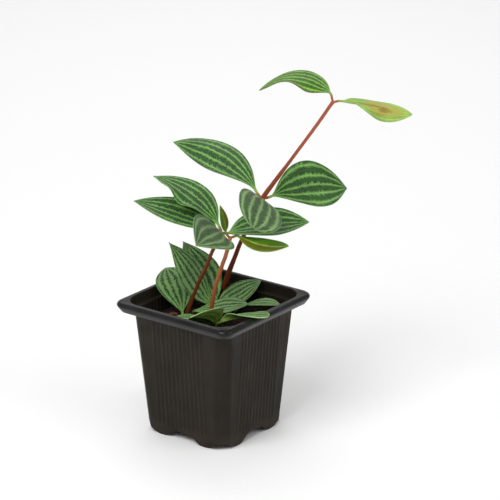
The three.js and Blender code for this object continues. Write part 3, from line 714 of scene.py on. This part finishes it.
def build_leaf(node, shape, index):
    small = shape["width"] < SMALL_LEAF
    columns, rows = (24, 40) if small else (40, 70)
    points, values, spans = leaf_rings(shape, index, columns, rows)
    blade = np.concatenate(values)
    middle, _, _, normal = midrib(shape, np.clip(blade[:, 0], 0, 1))
    grow = smooth(blade[:, 0] / 0.3) * np.abs(blade[:, 1])
    soft = speckle(middle + (blade[:, 1] * shape["width"] / 2)[:, None] * 0.6, 0.07, index + 1)
    piece = new_object(node + "_blade",
                       np.concatenate(points) + normal * (0.5 * soft * grow)[:, None],
                       tube_faces(len(points), 2 * columns),
                       {"blade": blade, "span": np.concatenate(spans)})
    dress(piece, node, shape.get("slot", shape["finish"]), leaf_finish(shape["finish"]))


# Stems


def stem_material(name, low, high, tip, speck, turn):
    """A smooth succulent stem: lower, upper and tip colour, fine lengthwise streaks, pale specks."""
    material, nodes = new_material(name)
    mix, ease = nodes.mix, nodes.ease
    along, around, seed = nodes.split(nodes.attribute("run"))
    mottle = nodes.mottle(nodes.place(), 1.6)
    streak = nodes.noise(nodes.join(along * 0.09, around * 2.2, seed), 1.0, 3.0, 0.6)
    colour = mix(ease(along, turn[0], turn[1]), low, high)
    colour = mix(ease(along, turn[1], turn[2]), colour, tip)
    colour = mix(ease(streak, 0.5, 0.75, 0.0, 0.45), colour, speck)
    dots = nodes.cells(nodes.stretch(nodes.place(), (900.0, 900.0, 420.0)))
    colour = mix(ease(dots, 0.24, 0.1, 0.0, 0.45), colour, speck)
    colour = mix(ease(mottle["Broad"], 0.35, 0.7, 0.0, 0.25), colour, low)
    surface(nodes, colour, ease(mottle["Grain"], 0.3, 0.7, 0.38, 0.55), 0.3,
            (0.3, 0.0004, streak + mottle["Grain"] * 0.4))
    return material


def stem_line(stem, per_span):
    """Centre line, radii and directions of a stem from in the soil to its top."""
    points = [np.array(p, float) for p in stem["points"]]
    down = unit(points[0] - points[1])
    buried = points[0] + down * STEM_DEPTH / abs(down[2])
    points = [buried, *points]
    radii = [stem["radii"][0], *stem["radii"]]
    padded = [points[0] * 2 - points[1], *points, points[-1] * 2 - points[-2]]
    line = []
    sizes = []
    for k in range(len(points) - 1):
        a, b, c, d = padded[k:k + 4]
        t = np.linspace(0, 1, per_span, endpoint=False)[:, None]
        line.append(0.5 * (2 * b + (c - a) * t + (2 * a - 5 * b + 4 * c - d) * t**2
                           + (3 * b - a - 3 * c + d) * t**3))
        sizes.append(radii[k] + (radii[k + 1] - radii[k]) * smooth(t[:, 0]))
    line.append(points[-1][None])
    sizes.append([radii[-1]])
    line = np.concatenate(line)
    return line, np.concatenate(sizes), unit(np.gradient(line, axis=0))


def build_stem(node, stem, index):
    """A stem with soft lobes and a rounded end. Its run holds the millimetres from its lower end
    and a place round it."""
    sides = 28
    line, sizes, along = stem_line(stem, 12)
    across = np.array([0.62, -0.78, 0.0])       # a level direction that no stem points along
    run = np.concatenate([[0], np.cumsum(np.linalg.norm(np.diff(line, axis=0), axis=1))])
    end = line[-1].copy()
    for lift, shrink in ((0.35, 0.93), (0.65, 0.74), (0.85, 0.45), (0.95, 0.2)):
        line = np.vstack([line, end + along[-1] * lift])
        sizes = np.append(sizes, stem["radii"][-1] * shrink)
        along = np.vstack([along, along[-1]])
        run = np.append(run, run[-1] + 0.3)
    angle = np.arange(sides) / sides * 2 * math.pi
    points = []
    values = []
    for k, centre in enumerate(line):
        side = unit(np.cross(across, along[k]))
        front = np.cross(along[k], side)
        lobes = (1 + 0.035 * np.cos(3 * angle + 0.02 * run[k] + index)
                 + 0.02 * np.cos(7 * angle + index))
        turned = side * np.cos(angle)[:, None] + front * np.sin(angle)[:, None]
        points.append(centre + turned * (sizes[k] * lobes)[:, None])
        values.append(beside(run[k], np.cos(angle) * 2 + 3, np.sin(angle) * 2 + 5 * index))
    flat = np.concatenate(points)
    rough = 0.07 * speckle(flat, 0.5, index + 4)
    flat += unit(flat - np.repeat(line, sides, 0)) * rough[:, None]
    return new_object(node + "_stalk", flat, tube_faces(len(points), sides),
                      {"run": np.concatenate(values)})


# Pot


def wall_half(z):
    return WALL["base"] + WALL["slope"] * z


def pot_outline():
    """Places round one side of the pot and its corner: (distance along the side, share of the way
    from the ribbed part to the corner, share of the corner)."""
    reach = RIBS["pitch"] * RIBS["count"] / 2
    steps = 8 * RIBS["count"]
    side = [(-reach + 2 * reach * i / steps, 0.0, 0.0) for i in range(steps + 1)]
    side += [(reach, k / 4, 0.0) for k in range(1, 5)]
    side += [(reach, 1.0, k / 10) for k in range(1, 10)]
    lead = [(-reach, k / 4, 0.0) for k in range(4, 0, -1)]
    return lead + side


def pot_ring(half, corner, roundness, rib=0.0, height=None):
    """One ring round the pot. height is a number, or a function of the distance along a side and
    the share of the corner."""
    ring = []
    outline = pot_outline()
    start = half - corner
    for turn in range(4):
        c, s = [(1, 0), (0, 1), (-1, 0), (0, -1)][turn]
        for at, share, round_share in outline:
            place = at
            x = half
            if share:
                place = at + (math.copysign(start, at) - at) * share
            if round_share:
                flat = (half - corner * round_share, start + corner * round_share)
                angle = round_share * math.pi / 2
                arc = (start + corner * math.cos(angle), start + corner * math.sin(angle))
                x = flat[0] + (arc[0] - flat[0]) * roundness
                place = flat[1] + (arc[1] - flat[1]) * roundness
            elif not share:
                off = abs((at / RIBS["pitch"]) % 1 - 0.5) * RIBS["pitch"]
                x += rib * float(smooth((1.28 - off) / 0.72))
            z = height(abs(place), round_share) if callable(height) else height
            ring.append((c * x - s * place, s * x + c * place, z))
    return ring


def foot_height(lift):
    """Height of the scalloped lower edge, lifted towards the wall by a share."""
    def at(place, corner):
        edge = float(curve_through(FOOT_EDGE, np.array([min(place, FOOT_SIDE)]))[0])
        if corner:
            edge = CORNER_EDGE + (CORNER_NOTCH - CORNER_EDGE) * math.sin(corner * math.pi)
        return max(edge, 0.0) + (FOOT_TOP - max(edge, 0.0)) * lift
    return at


def pot_mesh(rib_depth, rim_half, height):
    """Points and faces of the pot: up the outside, over the rim and down the inside."""
    thick = WALL["thick"]
    rings = []

    def wall(z, inset, rib, level=None):
        rings.append(pot_ring(wall_half(z) - inset, WALL["chamfer"] - inset * CHAMFER_SHRINK,
                              CORNER_ROUND, rib, z if level is None else level))

    wall(7.5, thick, 0, FLOOR_UNDER)
    wall(5, thick, 0, foot_height(0.4))
    wall(3, thick, 0, foot_height(0.06))
    wall(3, thick * 0.75, 0, foot_height(0.0))
    wall(3, thick * 0.25, 0, foot_height(0.0))
    wall(3, 0, 0, foot_height(0.06))
    wall(5, 0, 0, foot_height(0.4))
    wall(8, 0, 0, foot_height(0.8))
    for z, rib in ((8.6, 0), (8.9, 0.15), (9.3, 0.7), (9.8, 1), (20, 1), (31, 1), (42, 1), (53, 1),
                   (64, 1), (75, 1), (86, 1), (94.3, 1)):
        wall(z, 0, rib_depth * rib)
    wider = rim_half - RIM_HALF
    higher = height - POT_HEIGHT
    for z, half, corner in (
            (95.1, 48.4, 5), (101, 48.9, 5), (101.2, 49.2, 5), (101.2, 51.3, 6.7), (101, 51.5, 6.8),
            (96.3, 50.1, 6.8), (96, 50.3, 6.9), (95.95, 50.8, 7.6), (96.2, 51.2, 7.8),
            (97, 51.75, 7.9), (98.5, 52.6, 8.1), (100, 53.45, 8.2), (100.8, 53.75, 8.3),
            (101.6, 53.75, 8.3), (102.4, 53.4, 8.3), (103.1, 52.75, 7.9), (103.6, 51.9, 7.4),
            (103.9, 51.1, 6.9), (104, 50.3, 7), (104, 49.3, 14), (103.8, 48.7, 14.3),
            (103.4, 48.3, 14.2), (102.6, 48.1, 14), (99.5, 47.55, 13.8), (97, 47.1, 13.5),
            (96.4, 46.9, 13.4), (96.1, 46.6, 13.2)):
        rings.append(pot_ring(half + wider, corner, 1.0, 0.0, z + higher))
    for z, rib in ((95.9, 0), (95.4, 0.6), (94.8, 1), (85, 1), (60, 1), (30, 1), (9.4, 1), (8.6, 0)):
        wall(z, thick, rib_depth * rib)
    wall(FLOOR_TOP, thick + 0.5, 0)
    around = len(rings[0])
    points = np.array([p for ring in rings for p in ring])
    faces = tube_faces(len(rings), around, caps=False)
    low = len(points)
    points = np.vstack([points, [[0, 0, FLOOR_UNDER], [0, 0, FLOOR_TOP]]])
    last = (len(rings) - 1) * around
    for i in range(around):
        j = (i + 1) % around
        faces.append((low, j, i))
        faces.append((low + 1, last + i, last + j))
    return points, faces


def pot_material(colour, rim_colour):
    """Satin black plastic: greyer on the worn outside of the rim, browner and dustier low on the
    walls, with fine grain and faint lengthwise drag marks from the mould."""
    material, nodes = new_material("pot_plastic")
    mix, ease = nodes.mix, nodes.ease
    place = nodes.place()
    x, y, z = nodes.split(place)
    mottle = nodes.mottle(place, 0.7)
    dust = nodes.noise(nodes.stretch(place, (240.0, 240.0, 26.0)), 1.0, 4.0, 0.6)
    body = mix(ease(mottle["Broad"], 0.35, 0.7, 0.0, 0.5), colour, hexa("2b221a"))
    body = mix(ease(dust, 0.5, 0.8, 0.0, 0.16), body, hexa("4c4338"))
    foot = ease(z, 0.016, 0.0) * ease(mottle["Broad"], 0.4, 0.65)
    body = mix(foot * 0.16, body, hexa("5a4c3c"))
    from_middle = nodes.math("MAXIMUM", abs(x - float(MIDDLE[0])), abs(y - float(MIDDLE[1])))
    outside = nodes.math("MAXIMUM", ease(from_middle, *WORN["outside"]), ease(z, *WORN["crest"]))
    rim = ease(z, *WORN["above"]) * outside
    worn = mix(ease(mottle["Broad"], 0.3, 0.75), rim_colour, hexa("272628"))
    roughness = nodes.blend(rim, ease(dust, 0.3, 0.7, 0.5, 0.68),
                            ease(mottle["Grain"], 0.3, 0.7, 0.14, 0.24))
    grain = nodes.blend(rim * 0.8, mottle["Grain"], 0.5)
    surface(nodes, mix(rim, body, worn), roughness, 0.2, (0.22, 0.0003, grain + dust * 0.8))
    return material


# Soil


def soil_height(x, y):
    """The gentle lie of the potting mix."""
    return SOIL_LEVEL + 0.8 * (0.5 * np.sin(0.31 * x + 0.9) * np.cos(0.27 * y - 0.6)
                               + 0.35 * np.sin(0.83 * x - 0.52 * y + 2)
                               + 0.25 * np.cos(0.44 * x + 1.02 * y))


def soil_surface(x, y):
    """Height of the crumbly surface at a point."""
    fine = noise.noise(Vector((x * 0.45, y * 0.45, 3.0)))
    finer = noise.noise(Vector((x * 1.1, y * 1.1, 9.0)))
    return float(soil_height(x, y)) + 0.9 * fine + 0.55 * abs(finer)


def soil_material(name, dark, brown, tan):
    """Crumbly mix whose tone runs from the dark bed to the pale tan crumbs of one patch, whose tan is
    painted light where light falls on the soil.
    """
    material, nodes = new_material(name)
    mix, ease = nodes.mix, nodes.ease
    place = nodes.place()
    grain = nodes.mottle(place, 2.4)["Grain"]
    tone = nodes.split(nodes.attribute("tone"))[0]
    body = mix(ease(nodes.noise(place, 95.0, 3.0, 0.6), 0.45, 0.7, 0.0, 0.35), dark, brown)
    body = mix(ease(tone, 0.35, 0.95), body, brown)
    # painted light: only the crumbs of the one patch where light falls on the soil reach the tan
    body = mix(ease(tone, 0.86, 1.0, 0.0, 0.8), body, tan)
    body = mix(ease(grain, 0.5, 0.8, 0.0, 0.5), body, dark)
    surface(nodes, body, ease(grain, 0.3, 0.7, 0.75, 1.0), 0.25, (0.8, 0.0007, grain))
    return material


def soil_bed():
    """The potting mix: a crumbly top over a plain tapering body."""
    top_half = wall_half(SOIL_LEVEL) - WALL["thick"] - 0.15
    cells = 120
    ticks = np.linspace(-top_half, top_half, cells + 1)
    grid = [(x, y, soil_surface(x, y)) for y in ticks for x in ticks]
    n = cells + 1
    quads = [(j * n + i, j * n + i + 1, (j + 1) * n + i + 1, (j + 1) * n + i)
             for j in range(cells) for i in range(cells)]
    made = bmesh.new()
    corners = [made.verts.new(p) for p in grid]
    for quad in quads:
        made.faces.new([corners[k] for k in quad])
    cut = 2 * top_half - WALL["chamfer"] + 0.7
    for sx, sy in CORNERS:
        parts = made.verts[:] + made.edges[:] + made.faces[:]
        bmesh.ops.bisect_plane(made, geom=parts, plane_co=(sx * cut / 2, sy * cut / 2, 0),
                               plane_no=(sx, sy, 0), clear_outer=True)
    rim = [e for e in made.edges if e.is_boundary]
    below = bmesh.ops.extrude_edge_only(made, edges=rim)["geom"]
    shrink = (wall_half(FLOOR_TOP) - WALL["thick"] - 0.5) / top_half
    lowest = [v for v in below if isinstance(v, bmesh.types.BMVert)]
    for v in lowest:
        v.co = (v.co.x * shrink, v.co.y * shrink, FLOOR_TOP + 0.35)
    bottom = [e for e in made.edges if e.is_boundary]
    bmesh.ops.holes_fill(made, edges=bottom)
    made.verts.index_update()
    points = [tuple(v.co) for v in made.verts]
    faces = [tuple(v.index for v in f.verts) for f in made.faces]
    made.free()
    return new_object("soil_bed", points, faces, {"tone": np.zeros((len(points), 3))})


def soil_crumbs(count):
    """Loose crumbs, bark and fibres half sunk in the surface."""
    random = np.random.default_rng(11)
    ball = bmesh.new()
    bmesh.ops.create_icosphere(ball, subdivisions=2, radius=1.0)
    ball.verts.ensure_lookup_table()
    base = np.array([v.co[:] for v in ball.verts])
    triangles = [tuple(v.index for v in f.verts) for f in ball.faces]
    ball.free()
    points = []
    faces = []
    tones = []
    reach = wall_half(SOIL_LEVEL) - WALL["thick"] - 2.2
    for k in range(count):
        x, y = random.uniform(-reach, reach, 2)
        size = 0.35 + 1.25 * random.random() ** 2.6
        tone = 0.7 * random.random() ** 1.6
        # one crumb in every few lies in a patch with the palest tones, painted light where light falls
        # on the soil
        if k % LIT_CRUMB_PATCH["every"] == 0:
            x = random.normal(*LIT_CRUMB_PATCH["x"])
            y = random.normal(*LIT_CRUMB_PATCH["y"])
            size = 0.5 + 0.9 * random.random()
            tone = 0.75 + 0.3 * random.random()
        if abs(x) > reach or abs(y) > reach or abs(x) + abs(y) > 2 * reach - 7:
            continue
        stretch = size * np.array([1 + 0.9 * random.random(), 0.8 + 0.4 * random.random(), 0.65])
        turn = random.uniform(0, 2 * math.pi)
        lumps = 1 + 0.28 * speckle(base, 1.3, k * 0.37)
        shape = base * lumps[:, None] * stretch
        c, s = math.cos(turn), math.sin(turn)
        shape = np.stack([shape[:, 0] * c - shape[:, 1] * s, shape[:, 0] * s + shape[:, 1] * c,
                          shape[:, 2]], 1)
        start = len(points) * len(base)
        points.append(shape + np.array([x, y, soil_surface(x, y) + size * 0.25]))
        faces += [tuple(i + start for i in t) for t in triangles]
        tones.append(np.tile([tone, 0, 0], (len(base), 1)))
    return new_object("soil_crumbs", np.concatenate(points), faces,
                      {"tone": np.concatenate(tones)})


# Settings


def number(name, description, value, unit="NONE"):
    return bpy.props.FloatProperty(name=name, description=description, default=value, unit=unit)


def length(name, description, metres):
    return number(name, description, metres, "LENGTH")


def colour(name, description, value):
    return bpy.props.FloatVectorProperty(name=name, description=description, default=value,
                                         subtype="COLOR", size=3)


class PotSettings(bpy.types.PropertyGroup):
    height: length("Height", "From the foot to the top of the rim", 0.104)
    rim_half: length("Rim half width", "Widest half width of the rim", 0.0538)
    rib_depth: length("Rib depth", "How far a rib stands out", 0.00045)
    drain_radius: length("Drain hole radius", "Radius of each hole in the floor", 0.0045)
    drain_at: length("Drain hole place", "Distance of each hole from the middle, along x and y",
                     0.022)
    colour: colour("Wall colour", "Plastic of the walls", hexa("1d180f"))
    rim_colour: colour("Rim colour", "Plastic of the worn rim", hexa("1a1918"))


class SoilSettings(bpy.types.PropertyGroup):
    crumbs: bpy.props.IntProperty(
        name="Crumbs", description="Loose crumbs tried on the surface", default=1300)
    dark: colour("Dark", "Moist mix", hexa("110c08"))
    brown: colour("Brown", "Bark and peat crumbs", hexa("3c2213"))
    # the tan is painted light, on the crumbs of the one patch where light falls on the soil
    tan: colour("Tan", "The few driest crumbs", hexa("96532a"))


class StemSettings(bpy.types.PropertyGroup):
    red: colour("Red stem", "The left stem", hexa("632a0c"))
    copper: colour("Copper stem", "The middle stem", hexa("aa5d31"))
    brown: colour("Tall stem, low", "The tall stem near the soil", hexa("68290a"))
    brick: colour("Tall stem, high", "The tall stem above its first leaves", hexa("883919"))


class StageSettings(bpy.types.PropertyGroup):
    floor_colour: colour("Floor", "Pale studio floor", (0.93, 0.93, 0.93))
    key_power: number("Key light", "Power of the large soft light in watts", 15.5)
    fill_power: number("Fill light", "Power of the soft light on the other side in watts", 7.2)
    back_power: number("Back light", "Power of the light over the floor behind in watts", 9.0)
    sky: number("Room light", "Strength of the even light all round", 0.44)
    distance: length("Camera distance", "From the camera to the plant", 2.15)


# Operators


class PEPEROMIA_OT_pot(bpy.types.Operator):
    """Build the square ribbed nursery pot"""

    bl_idname = "peperomia.pot"
    bl_label = "Pot"

    def execute(self, context):
        settings = context.scene.peperomia_pot
        points, faces = pot_mesh(settings.rib_depth / MM, settings.rim_half / MM,
                                 settings.height / MM)
        piece = new_object("pot_moulding", points, faces)
        radius = settings.drain_radius
        drills = []
        for sx, sy in CORNERS:
            made = bmesh.new()
            bmesh.ops.create_cone(made, cap_ends=True, segments=40, radius1=radius, radius2=radius,
                                  depth=DRILL["depth"])
            mesh = bpy.data.meshes.new("drill")
            made.to_mesh(mesh)
            made.free()
            drill = bpy.data.objects.new("drill", mesh)
            drill.location = (MIDDLE[0] + sx * settings.drain_at,
                              MIDDLE[1] + sy * settings.drain_at, DRILL["height"])
            context.scene.collection.objects.link(drill)
            cut = piece.modifiers.new("drain", "BOOLEAN")
            cut.operation = "DIFFERENCE"
            cut.object = drill
            drills.append(drill)
        context.view_layer.update()
        solid = bpy.data.meshes.new_from_object(
            piece.evaluated_get(context.evaluated_depsgraph_get()))
        piece.modifiers.clear()
        piece.data = solid
        for drill in drills:
            bpy.data.objects.remove(drill)
        dress(piece, "pot", "pot_black", pot_material(settings.colour[:], settings.rim_colour[:]))
        return {"FINISHED"}


class PEPEROMIA_OT_soil(bpy.types.Operator):
    """Build the potting mix and its loose crumbs"""

    bl_idname = "peperomia.soil"
    bl_label = "Potting mix"

    def execute(self, context):
        settings = context.scene.peperomia_soil
        finish = soil_material("crumbly_mix", settings.dark[:], settings.brown[:],
                               settings.tan[:])
        dress(soil_bed(), "soil", "potting_mix", finish)
        dress(soil_crumbs(settings.crumbs), None, "potting_mix", finish)
        return {"FINISHED"}


class PEPEROMIA_OT_stems(bpy.types.Operator):
    """Build the three stems"""

    bl_idname = "peperomia.stems"
    bl_label = "Stems"

    def execute(self, context):
        settings = context.scene.peperomia_stems
        colours = {
            "stem_left": (hexa("5f2b0d"), settings.red[:], hexa("743817"), hexa("854423"),
                          (14.0, 40.0, 84.0)),
            "stem_middle": (hexa("7c381b"), settings.copper[:], hexa("bd7646"), hexa("c98757"),
                            (18.0, 52.0, 80.0)),
            "stem_tall": (settings.brown[:], settings.brick[:], hexa("a85434"), hexa("b0623f"),
                          (70.0, 112.0, 190.0)),
        }
        for index, (node, stem) in enumerate(STEMS.items()):
            finish = stem_material(stem["slot"] + "_skin", *colours[node])
            dress(build_stem(node, stem, index), node, stem["slot"], finish)
        return {"FINISHED"}


def grow(leaves, first, **shared):
    """Build a group of leaves. first is the number of its first leaf in the plant."""
    for index, (node, shape) in enumerate(leaves.items()):
        build_leaf(node, {**shared, **shape}, first + index)


class PEPEROMIA_OT_top_leaves(bpy.types.Operator):
    """Build the two leaves at the tip of the tall stem"""

    bl_idname = "peperomia.top_leaves"
    bl_label = "Top leaves"

    def execute(self, context):
        grow(TOP_LEAVES, 0, node="tip")
        return {"FINISHED"}


class PEPEROMIA_OT_upper_leaves(bpy.types.Operator):
    """Build the whorl of three leaves half way up the tall stem"""

    bl_idname = "peperomia.upper_leaves"
    bl_label = "Upper leaves"

    def execute(self, context):
        grow(UPPER_LEAVES, 2, node="tall", finish="leaf_striped")
        return {"FINISHED"}


class PEPEROMIA_OT_middle_leaves(bpy.types.Operator):
    """Build the whorl of four leaves on the left stem"""

    bl_idname = "peperomia.middle_leaves"
    bl_label = "Middle leaves"

    def execute(self, context):
        grow(MIDDLE_LEAVES, 5, node="left", finish="leaf_striped")
        return {"FINISHED"}


class PEPEROMIA_OT_young_leaves(bpy.types.Operator):
    """Build the two young leaves on the middle stem"""

    bl_idname = "peperomia.young_leaves"
    bl_label = "Young leaves"

    def execute(self, context):
        grow(YOUNG_LEAVES, 9, node="middle", finish="leaf_olive")
        return {"FINISHED"}


class PEPEROMIA_OT_base_leaves(bpy.types.Operator):
    """Build the nine leaves that stand in the potting mix"""

    bl_idname = "peperomia.base_leaves"
    bl_label = "Base leaves"

    def execute(self, context):
        grow(BASE_LEAVES, 11, finish="leaf_pale")
        return {"FINISHED"}


def towards_viewer(azimuth, elevation):
    """The direction from a thing to a viewer at these angles in degrees."""
    a, e = math.radians(azimuth), math.radians(elevation)
    return Vector((math.sin(a) * math.cos(e), -math.cos(a) * math.cos(e), math.sin(e)))


def aimed(name, data, aim, back, distance):
    """A lamp or camera that looks at a point."""
    thing = bpy.data.objects.new(name, data)
    thing.location = aim + back * distance
    thing.rotation_mode = "QUATERNION"
    thing.rotation_quaternion = (-back).to_track_quat("-Z", "Y")
    bpy.context.scene.collection.objects.link(thing)
    return thing


# Each square light: the point that it looks at, azimuth, elevation, distance and size in metres.
LIGHTS = {
    "key": ((0, 0, 0.13), 2, 48, 1.5, 0.9),
    "fill": ((0, 0, 0.13), 100, 30, 1.7, 1.2),
    "back": ((-0.75, 0.98, 0), 0, 89, 1.2, 1.5),
}
# The camera looks down from the front, turned a little to the pot's right. It looks at a point
# right of the pot's middle and above its foot, in metres.
SENSOR_WIDTH = 36.0
CAMERA = {"azimuth": 37.3, "elevation": 19.8, "right": 0.0271, "up": 0.1407,
          "pixels_deep": 2899.0, "pixels_wide": 500.0}


class PEPEROMIA_OT_stage(bpy.types.Operator):
    """Set the pale floor, the soft lights and the camera"""

    bl_idname = "peperomia.stage"
    bl_label = "Stage"

    def execute(self, context):
        settings = context.scene.peperomia_stage
        scene = context.scene
        half = 6.0
        mesh = bpy.data.meshes.new("floor")
        mesh.from_pydata([(-half, -half, 0), (half, -half, 0), (half, half, 0), (-half, half, 0)],
                         [], [(0, 1, 2, 3)])
        floor = bpy.data.objects.new("floor", mesh)
        scene.collection.objects.link(floor)
        material, nodes = new_material("pale_floor")
        soft = nodes.ease(nodes.noise(nodes.place(), 3.0), 0.3, 0.7, 0.0, 0.1)
        surface(nodes, nodes.mix(soft, settings.floor_colour[:], (0.9, 0.9, 0.9)), 0.9)
        mesh.materials.append(material)
        world = bpy.data.worlds.new("room")
        world.use_nodes = True
        scene.world = world
        room = world.node_tree.nodes["Background"].inputs
        room["Color"].default_value = (1, 1, 1, 1)
        room["Strength"].default_value = settings.sky
        for name, (aim, azimuth, elevation, distance, size) in LIGHTS.items():
            data = bpy.data.lights.new(name, "AREA")
            data.size = size
            data.energy = getattr(settings, name + "_power")
            aimed(name, data, Vector(aim), towards_viewer(azimuth, elevation), distance)
        data = bpy.data.cameras.new("camera")
        data.sensor_width = SENSOR_WIDTH
        data.lens = SENSOR_WIDTH * CAMERA["pixels_deep"] / CAMERA["pixels_wide"]
        data.clip_start = 0.1
        data.clip_end = 50.0
        azimuth = math.radians(CAMERA["azimuth"])
        right = Vector((math.cos(azimuth), math.sin(azimuth), 0))
        target = Vector(MIDDLE) + right * CAMERA["right"] + Vector((0, 0, CAMERA["up"]))
        back = towards_viewer(CAMERA["azimuth"], CAMERA["elevation"])
        scene.camera = aimed("camera", data, target, back, settings.distance)
        scene.view_settings.view_transform = "Standard"
        return {"FINISHED"}


class PEPEROMIA_PT_parts(bpy.types.Panel):
    """Lists the pieces of the potted peperomia"""

    bl_idname = "PEPEROMIA_PT_parts"
    bl_label = "Potted peperomia"
    bl_space_type = "VIEW_3D"
    bl_region_type = "UI"
    bl_category = "Peperomia"

    def draw(self, context):
        for operator, group in PANEL_ROWS:
            box = self.layout.box()
            box.operator(operator.bl_idname)
            settings = getattr(context.scene, group, None) if group else None
            if settings:
                for key in settings.__annotations__:
                    box.prop(settings, key)


SETTINGS = {
    "peperomia_pot": PotSettings,
    "peperomia_soil": SoilSettings,
    "peperomia_stems": StemSettings,
    "peperomia_stage": StageSettings,
}
PANEL_ROWS = [
    (PEPEROMIA_OT_stage, "peperomia_stage"),
    (PEPEROMIA_OT_pot, "peperomia_pot"),
    (PEPEROMIA_OT_soil, "peperomia_soil"),
    (PEPEROMIA_OT_stems, "peperomia_stems"),
    (PEPEROMIA_OT_top_leaves, None),
    (PEPEROMIA_OT_upper_leaves, None),
    (PEPEROMIA_OT_middle_leaves, None),
    (PEPEROMIA_OT_young_leaves, None),
    (PEPEROMIA_OT_base_leaves, None),
]
CLASSES = [*SETTINGS.values(), *[row[0] for row in PANEL_ROWS], PEPEROMIA_PT_parts]


def register():
    for kind in CLASSES:
        bpy.utils.register_class(kind)
    for key, kind in SETTINGS.items():
        setattr(bpy.types.Scene, key, bpy.props.PointerProperty(type=kind))


def unregister():
    for key in SETTINGS:
        delattr(bpy.types.Scene, key)
    for kind in reversed(CLASSES):
        bpy.utils.unregister_class(kind)


def main():
    register()
    bpy.ops.peperomia.stage()
    bpy.ops.peperomia.pot()
    bpy.ops.peperomia.soil()
    bpy.ops.peperomia.stems()
    bpy.ops.peperomia.top_leaves()
    bpy.ops.peperomia.upper_leaves()
    bpy.ops.peperomia.middle_leaves()
    bpy.ops.peperomia.young_leaves()
    bpy.ops.peperomia.base_leaves()


if __name__ == "__main__":
    main()
